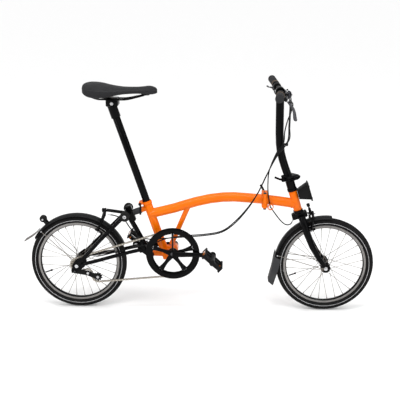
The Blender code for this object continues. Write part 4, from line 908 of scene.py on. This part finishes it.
links = chain()
links.done(
    None, "chain_steel", ["chain"], angle=40,
    blend=("frame", "rear_frame", (-0.195, CHAINLINE, 0.25), (-0.245, CHAINLINE, 0.25)),
)


def toothed(shape, centre, teeth, radius, inner, half, mat):
    """A flat toothed ring in the line of the chain."""
    outer, hole = [], []
    for k in range(teeth * 6):
        at = 2 * pi * k / (teeth * 6)
        lift = (-0.0022, -0.001, 0.0016, 0.0034, 0.0016, -0.001)[k % 6]
        outer.append((centre.x + (radius + lift) * cos(at), centre.z + (radius + lift) * sin(at)))
        hole.append((centre.x + inner * cos(at), centre.z + inner * sin(at)))
    shape.loop_plate(outer, hole, CHAINLINE - half, CHAINLINE + half, mat)


def chainring():
    shape = Shape("chainring_full")
    toothed(shape, CRANK_AXIS, CHAINRING_TEETH, CHAINRING_R - 0.0012, 0.085, 0.0011, "black")
    disc = [(0.09, 0.0008), (0.0912, 0.0018), (0.1132, 0.0018), (0.1145, 0.0006)]
    disc += [(0.1145, -0.0008), (0.1132, -0.0018), (0.0912, -0.0018), (0.09, -0.001)]
    shape.turned(disc, CRANK_AXIS + ALONG_Y * -0.0525, ALONG_Y, "black", 140)
    for angle in SPIDER_ANGLES:
        tab = CRANK_AXIS + radial(angle, 0.0925)
        shape.rod(tab + ALONG_Y * -0.054, tab + ALONG_Y * -0.0462, 0.0052, "black", 20)
        bolt = CRANK_AXIS + radial(angle, 0.087, -0.0512)
        shape.rod(bolt + ALONG_Y * 0.0058, bolt, 0.0058, "black", 20)
        shape.bolt(bolt + ALONG_Y * 0.0002, (0, -1, 0), 0.0046, "steel", 0.0026)
    shape.done("crank", "black_paint", ["chainring"])
    cog = Shape("sprocket_full")
    toothed(cog, REAR_AXLE, SPROCKET_TEETH, SPROCKET_R - 0.0012, 0.01, 0.001, "chain")
    middle = REAR_AXLE + ALONG_Y * CHAINLINE
    cog.turned(ring(0.0095, 0.015, -0.002, 0.0034), middle, ALONG_Y, "dark_steel", 40)
    shield = [(0.0095, 0.0036), (0.027, 0.0036), (0.028, 0.0044), (0.028, 0.005), (0.0095, 0.0056)]
    cog.turned(shield, middle, ALONG_Y, "plastic", 60)
    cog.done("sprocket", "chain_steel", ["sprocket"])


chainring()


def spider_and_cranks():
    for side, name in SIDES:
        shape = Shape("crank_" + name + "_full")
        near = Vector((CRANK_AXIS.x, side * 0.061, CRANK_AXIS.z))
        far = Vector((CRANK_AXIS.x - side * CRANK_LENGTH, side * 0.068, CRANK_AXIS.z))
        path = [near.lerp(far, k / 24) for k in range(25)]
        widths = [0.0138 - 0.0035 * min(1.0, k / 10) + (0.0016 * max(0, k - 18) / 6) for k in range(25)]
        shape.tube(path, 0.012, "black", 24, widths, flat=(0.56, 1.0))
        out = ALONG_Y * side
        boss = [(0.009, -0.0105), (0.0165, -0.0105), (0.0175, -0.009), (0.0175, 0.005)]
        boss += [(0.016, 0.0072), (0.011, 0.0074), (0.0104, 0.004), (0.009, 0.0036)]
        shape.turned(boss, near, out, "black", 48)
        bolt = [(0, -0.001), (0.0088, -0.001), (0.0088, 0.0046), (0.007, 0.0058), (0.005, 0.0058)]
        shape.turned(bolt + [(0.0046, 0.003), (0, 0.003)], near, out, "dark_steel", 36)
        shape.turned(band(0.0066, 0.0142, 0.0076, 0.0012, 0.0012), far, out, "black", 44)
        if side < 0:
            for angle in SPIDER_ANGLES:
                root = CRANK_AXIS + radial(angle, 0.01, -0.056)
                tip = CRANK_AXIS + radial(angle, 0.0865, -0.0522)
                leg_path = [root.lerp(tip, k / 10) for k in range(11)]
                sizes = [0.0078 + 0.0052 * abs(k / 5 - 1) ** 1.6 for k in range(11)]
                shape.tube(leg_path, 0.009, "black", 20, sizes, flat=(0.4, 1.0))
        else:
            shape.rod(CRANK_AXIS + ALONG_Y * -0.05, CRANK_AXIS + ALONG_Y * 0.056, 0.0084, "steel", 24)
        shape.done("crank", "black_paint", ["crank_" + name], angle=50)


spider_and_cranks()


def pedals():
    turn = Matrix.Rotation(PEDAL_TURN, 4, "Y")
    for side, hand in SIDES:
        name = "pedal_" + hand
        shape = Shape(name + "_full")
        x, z = CRANK_AXIS.x - side * CRANK_LENGTH, CRANK_AXIS.z
        centre = Vector((x, 0, z))

        def box(size, across, y, rise, mat):
            shape.block(size, centre + turn @ Vector((across, y, rise)), mat, turn)

        shape.rod((x, side * 0.06, z), (x, side * 0.078, z), 0.0064, "steel", 20)
        shape.rod((x, side * 0.0772, z), (x, side * 0.081, z), 0.0098, "steel", 6)
        body = [(0, 0), (0.012, 0), (0.0128, 0.003), (0.0095, 0.022), (0.0095, 0.06)]
        body += [(0.0125, 0.078), (0.0115, 0.0865), (0, 0.087)]
        shape.turned(body, (x, side * 0.0808, z), (0, side, 0), "plastic", 28)
        for edge in (-1, 1):
            for rise in (-0.0082, 0.0082):
                box((0.007, 0.084, 0.0075), edge * 0.043, side * 0.1245, rise, "plastic")
            for tooth in range(9):
                y = side * (0.086 + 0.0096 * tooth)
                for rise in (-0.0116, 0.0116):
                    box((0.0072, 0.0034, 0.0034), edge * 0.043, y, rise, "plastic")
            for y in (0.084, 0.102, 0.147, 0.165):
                box((0.0064, 0.006, 0.023), edge * 0.043, side * y, 0, "plastic")
            box((0.0052, 0.04, 0.0105), edge * 0.044, side * 0.1245, 0, "amber")
            box((0.084, 0.006, 0.015), 0, side * (0.1245 + edge * 0.04), 0, "plastic")
        box((0.006, 0.003, 0.009), -0.036, side * 0.0815, 0, "amber")
        for y in (0.106, 0.142):
            box((0.084, 0.005, 0.01), 0, side * y, 0, "plastic")
        shape.done(name, "black_plastic", [name], bevel=0.0006, angle=50)


pedals()

# Frame fittings


def suspension():
    line = Vector((-0.94, 0, -0.342)).normalized()
    stop = Vector((-0.2155, 0, 0.4555)) + line * 0.034
    shape = Shape("spring_block_full")
    profile = [(0, 0.0003), (0.0128, 0.0003), (0.0136, 0.0012), (0.0136, 0.005), (0.013, 0.0062)]
    profile += [(0.0136, 0.008), (0.0137, 0.018), (0.0136, 0.028), (0.013, 0.0298)]
    profile += [(0.0136, 0.0312), (0.0136, 0.035), (0.0126, 0.036), (0, 0.036)]
    shape.turned(profile, stop, line, "elastomer", 48)
    shape.done("rear_frame", "rubber", ["suspension_block"])


suspension()


def rollers():
    for side, name in SIDES:
        centre = ROLLER_AXIS + ALONG_Y * side * 0.065
        out = ALONG_Y * side
        shape = Shape("roller_" + name + "_full")
        half = [(0.016, -0.0105), (0.0188, -0.0098), (0.0204, -0.0075), (0.0205, -0.002), (0.0199, -0.001)]
        profile = [(0.0054, -0.0105)] + mirrored(half) + [(0.012, 0.009), (0.0054, 0.009)]
        shape.turned(profile, centre, out, "rubber", 56)
        shape.done("roller_" + name, "rubber", ["roller_" + name])
        cap = Shape("roller_bolt_" + name)
        cap.turned(ring(0, 0.0095, 0.0092, 0.0104), centre, out, "dark_steel", 28)
        cap.bolt(centre + out * 0.0102, out, 0.0052, "steel", 0.0032)
        cap.done("rear_frame", "black_paint", bevel=0.0003)
    shape = Shape("mudguard_roller_full")
    half = [(0.0027, -0.0105), (0.011, -0.0105), (0.0135, -0.0096), (0.015, -0.007)]
    shape.turned(mirrored(half), GUARD_ROLLER, ALONG_Y, "rubber", 44)
    shape.done("mudguard_roller", "rubber", ["mudguard_roller"])


rollers()


def tensioner():
    shape = Shape("tensioner_full")
    y = -0.0535

    def arm(a, b, ra, rb):
        angle = atan2(b.z - a.z, b.x - a.x)
        outline = []
        for k in range(17):
            t = angle + pi / 2 + pi * k / 16
            outline.append((a.x + ra * cos(t), a.z + ra * sin(t)))
        for k in range(17):
            t = angle - pi / 2 + pi * k / 16
            outline.append((b.x + rb * cos(t), b.z + rb * sin(t)))
        shape.plate(outline, y - 0.0016, y + 0.0016, "plastic")

    arm(TENSIONER_PIVOT, GUIDE_WHEEL, 0.012, 0.01)
    arm(GUIDE_WHEEL, JOCKEY, 0.01, 0.012)
    pivot = Vector((TENSIONER_PIVOT.x, 0, TENSIONER_PIVOT.z))
    shape.rod(pivot + ALONG_Y * -0.064, pivot + ALONG_Y * -0.05, 0.0036, "dark_steel", 20)
    for centre in (JOCKEY, GUIDE_WHEEL):
        shape.rod(centre + ALONG_Y * -0.0062, centre + ALONG_Y * 0.0042, 0.0028, "steel", 18)
        shape.bolt(centre + ALONG_Y * -0.008, (0, -1, 0), 0.0042, "steel", 0.0024)
    cap = [(0, 0), (0.009, 0), (0.0095, 0.001), (0.0095, 0.005), (0, 0.006)]
    shape.turned(cap, pivot + ALONG_Y * -0.0555, ALONG_Y, "plastic", 32)
    shape.done("tensioner", "black_plastic", ["tensioner_arm"], bevel=0.0005)
    wheels = (("jockey_wheel", JOCKEY, JOCKEY_R, 10), ("guide_wheel", GUIDE_WHEEL, GUIDE_WHEEL_R, 8))
    for name, centre, radius, teeth in wheels:
        wheel = Shape(name + "_full")
        toothed(wheel, centre, teeth, radius - 0.0018, 0.006, 0.0012, "plastic")
        wheel.turned(band(0.0031, 0.008, 0.0028, 0.001, 0.0008), centre, ALONG_Y, "plastic", 32)
        wheel.done(name, "black_plastic", [name])


tensioner()


def caliper(name, pivot, axle, spot, body):
    """Two brake arms of cast alloy painted black, each with a shoe, and the bolts of the caliper."""
    spot = radians(spot)
    for side, hand in SIDES:
        shape = Shape(name + "_arm_" + hand + "_full")
        pad = axle + radial(spot, BRAKE_SHOE_R, side * 0.016)
        front = pivot + Vector((0.0095 if side < 0 else 0.0, 0, 0))
        across = Vector((1, 0, 0))
        boss = [(0.0036, 0), (0.0088, 0), (0.0095, 0.0008), (0.0095, 0.0077), (0.0088, 0.0085)]
        shape.turned(boss + [(0.0036, 0.0085)], front, across, "black", 32)
        root = front + Vector((0.0042, side * 0.006, -0.002))
        shoulder = root + Vector((0, side * 0.0235, -0.0125))
        low = Vector((pad.x, side * 0.029, pad.z + 0.014))
        elbow = (shoulder + low) / 2 + ALONG_Y * side * 0.0015
        foot = Vector((pad.x, side * 0.025, pad.z + 0.001))
        neck = root + Vector((0, side * 0.013, -0.003))
        points = smooth_path([root, neck, shoulder, elbow, low, foot], 0.004)
        sizes = [0.0076 - 0.0022 * k / len(points) for k in range(len(points))]
        shape.tube(points, 0.0045, "black", 16, sizes, flat=(0.8, 1.0))
        turn = Matrix.Rotation(-(spot - pi / 2), 4, "Y")
        shape.block((0.036, 0.0046, 0.0085), pad + ALONG_Y * side * 0.0006, "rubber", turn)
        shape.block((0.034, 0.003, 0.007), pad + ALONG_Y * side * 0.004, "plastic", turn)
        shape.rod(pad + ALONG_Y * side * 0.004, pad + ALONG_Y * side * 0.014, 0.003, "steel", 16)
        shape.nut(pad + ALONG_Y * side * 0.0115, (0, side, 0), 0.0048, "steel", 0.0034)
        shape.done(name + "_arm_" + hand, "black_paint", [name + "_arm_" + hand], bevel=0.0005)
    bolt = Shape(name + "_bolt")
    tip = pivot + Vector((0.02, 0, 0))
    bolt.nut(tip, (1, 0, 0), 0.0052, "steel", 0.0044)
    bolt.done(body, "steel", bevel=0.0003)


def cable_barrel():
    """The front brake's upright adjuster, under the luggage block."""
    barrel = Shape("front_brake_barrel")
    foot = FRONT_BRAKE + Vector((0.004, 0.0, 0.005))
    head = foot + Vector((-0.012, 0.0, 0.036))
    barrel.rod(foot, foot.lerp(head, 0.45), 0.006, "black", 20, round_off=0.0008)
    barrel.rod(foot.lerp(head, 0.4), foot.lerp(head, 0.72), 0.0038, "dark_steel", 18)
    barrel.rod(foot.lerp(head, 0.68), head, 0.0072, "plastic", 22, round_off=0.001)
    barrel.done("fork", "black_plastic")


cable_barrel()
caliper("front_brake", FRONT_BRAKE, FRONT_AXLE, 112, "fork")
caliper("rear_brake", REAR_BRAKE, REAR_AXLE, 57, "rear_frame")


def guard(name, axle, start, end, stay_angle, stay_y):
    """A rolled mudguard with beaded edges, its bright wire stays and their clips."""
    shape = Shape(name + "_full")
    across = [(-GUARD_HALF, -0.0078), (-0.0205, -0.0052), (-0.0165, -0.0022), (-0.01, -0.0004), (0, 0.0004)]
    across = across + [(-y, d) for y, d in reversed(across[:-1])]
    thick = 0.0015
    section = across + [(y * 0.965, d - thick) for y, d in reversed(across)]
    steps, width = 60, len(section)
    angles = [radians(start + (end - start) * step / steps) for step in range(steps + 1)]
    verts = [axle + radial(angle, GUARD_R + drop, y) for angle in angles for y, drop in section]
    ends = []
    for base in (0, steps * width):
        for k in range(width // 2 - 1):
            ends.append((base + k, base + k + 1, base + width - 2 - k, base + width - 1 - k))
    shape.loft(verts, width, "guard", ends)
    for side in (-1, 1):
        edge = [axle + radial(angle, GUARD_R - 0.0082, side * (GUARD_HALF - 0.0003)) for angle in angles]
        shape.tube(edge, 0.0011, "guard", 8)
        at = radians(stay_angle)
        rim_end = axle + radial(at, GUARD_R - 0.004, side * (GUARD_HALF + 0.0008))
        near = axle + radial(at, 0.015, side * stay_y)
        knee = axle + radial(at, GUARD_R - 0.02, side * (GUARD_HALF + 0.0015))
        shape.tube([near, knee, rim_end], 0.0016, "spoke", 10)
        clip = axle + radial(at, GUARD_R - 0.009, side * (GUARD_HALF + 0.0012))
        shape.block((0.012, 0.003, 0.007), clip, "plastic", Matrix.Rotation(-at, 4, "Y"))
        shape.bolt(clip + ALONG_Y * side * 0.0014, (0, side, 0), 0.002, "steel", 0.0016)
        shape.turned(ring(0.003, 0.0056, -0.0012, 0.0012), near, ALONG_Y, "spoke", 20)
    return shape


front_guard = guard("front_mudguard", FRONT_AXLE, 84, 176, 168, 0.07)
front_guard.done("fork", "black_plastic", ["front_mudguard"])
rear_guard = guard("rear_mudguard", REAR_AXLE, 22, 150, 138, 0.04)
for side in (-1, 1):
    spot = GUARD_ROLLER.lerp(REAR_AXLE, 0.055) + ALONG_Y * side * 0.014
    rear_guard.block((0.01, 0.0034, 0.034), spot, "plastic", Matrix.Rotation(radians(-38), 4, "Y"))
rear_guard.rod(GUARD_ROLLER - ALONG_Y * 0.0165, GUARD_ROLLER + ALONG_Y * 0.0165, 0.0022, "steel", 16)
for side in (-1, 1):
    rear_guard.nut(GUARD_ROLLER + ALONG_Y * side * 0.016, (0, side, 0), 0.004, "steel", 0.0026)
rear_guard.done("rear_frame", "black_plastic", ["rear_mudguard"])


def flap(name, rows, half, thickness, mat, body):
    """A soft flap, from rows of (back point, front edge of its side walls) in the side view."""
    dense = []
    for index in range(len(rows) - 1):
        for k in range(4):
            share = k / 4
            dense.append([p + (q - p) * share for p, q in zip(rows[index], rows[index + 1])])
    dense.append(list(rows[-1]))
    columns = 17
    verts, faces = [], []
    for layer in (0, 1):
        for index, (back_x, back_z, edge_x, edge_z) in enumerate(dense):
            back = Vector((back_x, 0, back_z))
            reach = Vector((edge_x, 0, edge_z)) - back
            inward = reach.normalized()
            wall = half - thickness * layer
            last = index == len(dense) - 1
            for j in range(columns):
                if j < 4 or j > 12:
                    share = (4 - j) / 4 if j < 4 else (j - 12) / 4
                    y = wall if j > 12 else -wall
                    point = back + reach * share
                    if layer and share == 0:
                        point += inward * thickness
                else:
                    share = (j - 8) / 4
                    y = wall * share
                    ridge = 0.0008 * (abs(share) < 0.6) * (index % 4 != 0)
                    point = back + inward * (thickness if layer else ridge)
                if last:
                    point += Vector((0, 0, 0.0004 * layer))
                verts.append(point + ALONG_Y * y)
    size = len(dense) * columns
    for i in range(len(dense) - 1):
        for j in range(columns - 1):
            a = i * columns + j
            faces.append((a, a + 1, a + columns + 1, a + columns))
            faces.append((size + a, size + a + columns, size + a + columns + 1, size + a + 1))
    border = list(range(columns)) + [i * columns + columns - 1 for i in range(1, len(dense))]
    border += [(len(dense) - 1) * columns + j for j in range(columns - 2, -1, -1)]
    border += [i * columns for i in range(len(dense) - 2, 0, -1)]
    for a, b in zip(border, border[1:] + border[:1]):
        faces.append((a, size + a, size + b, b))
    shape = Shape(name + "_full")
    shape.add(verts, faces, mat)
    obj = shape.done(body, "rubber", [name], angle=60)
    soften(obj)


def flat_rows(axle, start, end, thickness):
    """Rows of a flap with no side walls that leans away from the wheel."""
    rows = []
    for k in range(6):
        angle = radians(start + (end - start) * k / 5)
        way = radial(angle)
        outer = axle + way * (GUARD_R + 0.0015 + thickness + 0.03 * (k / 5) ** 2)
        inner = outer - way * (thickness + 0.0006)
        rows.append((outer.x, outer.z, inner.x, inner.z))
    return rows


SCOOP_ROWS = [
    (0.3239, 0.2651, 0.3268, 0.2643),
    (0.3198, 0.2487, 0.3227, 0.2481),
    (0.3188, 0.244, 0.329, 0.2424),
    (0.3172, 0.237, 0.3478, 0.233),
    (0.3105, 0.195, 0.34, 0.189),
    (0.302, 0.16, 0.328, 0.149),
    (0.2955, 0.133, 0.3175, 0.114),
]
flap("front_mudflap", SCOOP_ROWS, 0.0265, 0.0025, "flap", "fork")
flap("rear_mudflap", flat_rows(REAR_AXLE, 140, 158, 0.003), 0.022, 0.0027, "flap_rear", "rear_frame")

# Cables

CABLES = {
    "front_brake_cable": [
        (0.356, -0.13, 0.936), (0.37, -0.118, 0.918), (0.366, -0.086, 0.88), (0.356, -0.055, 0.84),
        (0.348, -0.03, 0.79), (0.345, -0.024, 0.743), (0.318, -0.023, 0.701), (0.29, -0.03, 0.63),
        (0.285, -0.031, 0.57), (0.288, -0.03, 0.521), (0.295, -0.029, 0.485), (0.299, -0.016, 0.464),
        (0.302, -0.001, 0.459), (0.316, 0.008, 0.436), (0.346, 0.019, 0.395), (0.37, 0.03, 0.374),
        (0.39, 0.035, 0.376), (0.399, 0.033, 0.395),
    ],
    "rear_brake_cable": [
        (0.356, 0.13, 0.934), (0.376, 0.112, 0.918), (0.379, 0.07, 0.885), (0.373, 0.025, 0.85),
        (0.369, -0.012, 0.805), (0.366, -0.031, 0.755), (0.32, -0.031, 0.698), (0.278, -0.039, 0.608),
        (0.245, -0.04, 0.535), (0.204, -0.038, 0.465), (0.151, -0.033, 0.399), (0.095, -0.028, 0.356),
        (0.024, -0.026, 0.34), (-0.06, -0.0255, 0.332), (-0.167, -0.025, 0.323), (-0.215, -0.024, 0.32),
        (-0.262, -0.019, 0.33), (-0.295, -0.016, 0.366), (-0.32, -0.012, 0.4), (-0.356, -0.011, 0.418),
        (-0.388, -0.011, 0.424),
    ],
    "shift_cable": [
        (0.304, 0.096, 0.956), (0.317, 0.087, 0.924), (0.364, 0.064, 0.918), (0.37, 0.028, 0.89),
        (0.367, -0.008, 0.855), (0.364, -0.035, 0.818), (0.359, -0.041, 0.75), (0.316, -0.039, 0.686),
        (0.276, -0.046, 0.608), (0.243, -0.047, 0.535), (0.202, -0.045, 0.47), (0.148, -0.04, 0.406),
        (0.095, -0.035, 0.364), (0.024, -0.033, 0.348), (-0.06, -0.0325, 0.34), (-0.14, -0.0325, 0.326),
        (-0.19, -0.036, 0.308), (-0.25, -0.037, 0.293), (-0.3, -0.036, 0.279), (-0.37, -0.039, 0.261),
        (-0.42, -0.04, 0.248), (-0.45, -0.041, 0.244),
    ],
}


def nearest(path, point):
    return min(range(len(path)), key=lambda index: (path[index] - Vector(point)).length)


def cable(name, breaks):
    """A cable cover split where it passes from one body to the next."""
    path = smooth_path(CABLES[name], 0.006)
    cuts = [0] + [nearest(path, b[0]) for b in breaks[:-1]] + [len(path) - 1]
    for index, (_, first, second, start, end) in enumerate(breaks):
        stretch = path[cuts[index] : cuts[index + 1] + 1]
        shape = Shape(name + "_run_" + str(index + 1))
        shape.tube(stretch, 0.0025, "housing", 12)
        if index == 0:
            way = (path[1] - path[0]).normalized()
            ends = path[0] - way * 0.002, path[0] + way * 0.012
            shape.rod(*ends, 0.0031, "dark_steel", 16, round_off=0.0005)
        if index == len(breaks) - 1:
            way = (path[-1] - path[-2]).normalized()
            ends = path[-1] - way * 0.01, path[-1] + way * 0.003
            shape.rod(*ends, 0.0032, "steel", 16, round_off=0.0005)
        nodes = [name] if index == 0 else []
        if second:
            shape.done(None, "cable_housing", nodes, blend=(first, second, start, end))
        else:
            shape.done(first, "cable_housing", nodes)


cable("front_brake_cable", [
    ((0.286, -0.031, 0.585), "stem", "fork", (0.372, -0.02, 0.76), (0.33, -0.02, 0.64)),
    ((0.302, -0.001, 0.459), "fork", "front_frame", (0.286, -0.03, 0.585), (0.289, -0.03, 0.52)),
    (None, "front_frame", "fork", (0.312, 0.006, 0.44), (0.376, 0, 0.4)),
])
cable("rear_brake_cable", [
    ((0.278, -0.039, 0.608), "stem", "fork", (0.385, -0.02, 0.81), (0.3, -0.035, 0.65)),
    ((0.262, -0.04, 0.57), "fork", "front_frame", (0.277, -0.04, 0.606), (0.263, -0.04, 0.572)),
    ((0.024, -0.026, 0.34), "front_frame", "frame", (0.262, -0.04, 0.57), (0.06, -0.027, 0.345)),
    (None, "frame", "rear_frame", (-0.167, -0.025, 0.323), (-0.262, -0.02, 0.33)),
])
cable("shift_cable", [
    ((0.276, -0.046, 0.608), "stem", "fork", (0.378, -0.02, 0.81), (0.3, -0.042, 0.65)),
    ((0.26, -0.0465, 0.571), "fork", "front_frame", (0.275, -0.046, 0.606), (0.261, -0.046, 0.573)),
    ((0.024, -0.033, 0.348), "front_frame", "frame", (0.26, -0.046, 0.57), (0.06, -0.034, 0.355)),
    (None, "frame", "rear_frame", (-0.14, -0.033, 0.326), (-0.25, -0.037, 0.293)),
])


def fittings():
    """Bolts, ties and end plugs on the frame and fork."""
    root = Shape("frame_fittings")
    pin_head = [(0, 0), (0.0062, 0), (0.0066, 0.0006), (0.0066, 0.0024), (0.005, 0.0034), (0, 0.0036)]
    root.turned(pin_head, HINGE_PIN_TOP, (0, 0, 1), "dark_steel", 28)
    cup = [(0.0196, 0.0336), (0.02, 0.0344), (0.02, 0.0368), (0.019, 0.0376), (0.0095, 0.0376)]
    right_cup = [(0.0172, -0.0336)] + [(r, -y) for r, y in cup] + [(0.0095, -0.0336)]
    root.turned(right_cup, CRANK_AXIS, ALONG_Y, "dark_steel", 48)
    left_cup = [(0.0095, 0.0336)] + cup[::-1]
    root.turned(left_cup, CRANK_AXIS, ALONG_Y, "dark_steel", 48)
    collar = seat_line(0.4755, -0.029)
    root.bolt(collar + ALONG_Y * -0.021, (0, -1, 0), 0.0034, "steel", 0.0016)
    root.nut(collar + ALONG_Y * 0.0212, (0, 1, 0), 0.005, "steel", 0.004)
    root.done("frame", "steel", bevel=0.0003)
    pivot = Shape("pivot_bolts")
    for side in (-1, 1):
        pivot.bolt(REAR_PIVOT + ALONG_Y * side * 0.03, (0, side, 0), 0.0064, "steel", 0.0034)
    pivot.done("rear_frame", "steel", bevel=0.0003)
    front = Shape("front_fittings")
    block = steer_line(-0.017, 0.0715)
    for side in (-1, 1):
        for rise in (-0.026, 0.026):
            place = block + STEER_UP * rise + ALONG_Y * side * 0.024
            front.bolt(place, STEER_FORWARD, 0.0032, "steel", 0.0022)
    front.done("front_frame", "steel", bevel=0.0003)
    loop = Shape("guide_loop")
    centre = Vector((0.3, -0.0285, 0.47))
    turns = [2 * pi * k / 32 for k in range(33)]
    loop.tube([centre + radial(t, 0.0105, 0.004 * cos(t)) for t in turns], 0.0015, "orange", 10)
    loop.done("front_frame", "orange_paint")
    peg = Shape("head_tube_peg")
    base = steer_line(-0.066, -0.017)
    peg.rod(base, base - STEER_FORWARD * 0.01, 0.0038, "orange", 18, 0.003, 0.0006)
    peg.done("front_frame", "orange_paint")


fittings()

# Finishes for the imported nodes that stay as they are

FINISH_OF = {
    "orange_paint": "orange", "black_paint": "black", "black_plastic": "plastic", "steel": "dark_steel",
    "aluminium": "alloy", "chain_steel": "chain", "rubber": "rubber", "tyre_rubber": "tyre",
    "saddle_cover": "leather", "cable_housing": "housing",
}
for entry in frame["record"]["subparts"]:
    node = frame["nodes"][entry["node"]]
    if node.hide_render:
        continue
    node.data.materials.clear()
    node.data.materials.append(MATS[FINISH_OF[entry["material_slot"]]])
    node.data.shade_smooth()
    merge = node.modifiers.new("merge", "WELD")
    merge.merge_threshold = 0.00002
    round_edges(node, 0.0007)

# Studio


def studio():
    mesh = bpy.data.meshes.new("floor")
    work = bmesh.new()
    bmesh.ops.create_grid(work, x_segments=8, y_segments=8, size=90.0)
    work.to_mesh(mesh)
    work.free()
    floor = bpy.data.objects.new("floor", mesh)
    floor.location = (0, 0, -0.0002)
    bpy.context.scene.collection.objects.link(floor)
    pale = Nodes("floor_pale", (STUDIO_GREY,) * 3, 0.6)
    pale.roughness(pale.spread(pale.noise(6.0), 0.55, 0.7))
    mesh.materials.append(pale.material)

    world = bpy.data.worlds.new("studio")
    world.use_nodes = True
    world.node_tree.nodes["Background"].inputs["Color"].default_value = (1.0, 1.0, 1.0, 1)
    world.node_tree.nodes["Background"].inputs["Strength"].default_value = 0.45
    bpy.context.scene.world = world
    bpy.context.scene.view_settings.view_transform = "Standard"

    def lamp(name, place, target, size, power):
        light = bpy.data.lights.new(name, "AREA")
        light.shape = "RECTANGLE"
        light.size, light.size_y = size
        light.energy = power
        obj = bpy.data.objects.new(name, light)
        obj.location = place
        obj.rotation_euler = (Vector(target) - Vector(place)).to_track_quat("-Z", "Y").to_euler()
        bpy.context.scene.collection.objects.link(obj)

    lamp("overhead", (0.2, -0.9, 2.9), (0, 0, 0.3), (3.0, 0.35), 30)
    lamp("front_left", (-2.6, -2.6, 1.7), (0, 0, 0.5), (0.22, 2.2), 26)
    lamp("front_right", (2.8, -2.2, 1.5), (0, 0, 0.5), (0.22, 2.2), 18)
    sun = bpy.data.lights.new("sky", "SUN")
    sun.energy = 2.2
    sun.angle = radians(120)
    sky = bpy.data.objects.new("sky", sun)
    sky.rotation_euler = (radians(14), radians(-8), 0)
    bpy.context.scene.collection.objects.link(sky)

    camera = bpy.data.cameras.new("camera")
    camera.lens = CAMERA_LENS
    camera.sensor_width = 36
    obj = bpy.data.objects.new("camera", camera)
    obj.location = CAMERA_PLACE
    obj.rotation_euler = (CAMERA_AIM - CAMERA_PLACE).to_track_quat("-Z", "Y").to_euler()
    bpy.context.scene.collection.objects.link(obj)
    bpy.context.scene.camera = obj


studio()
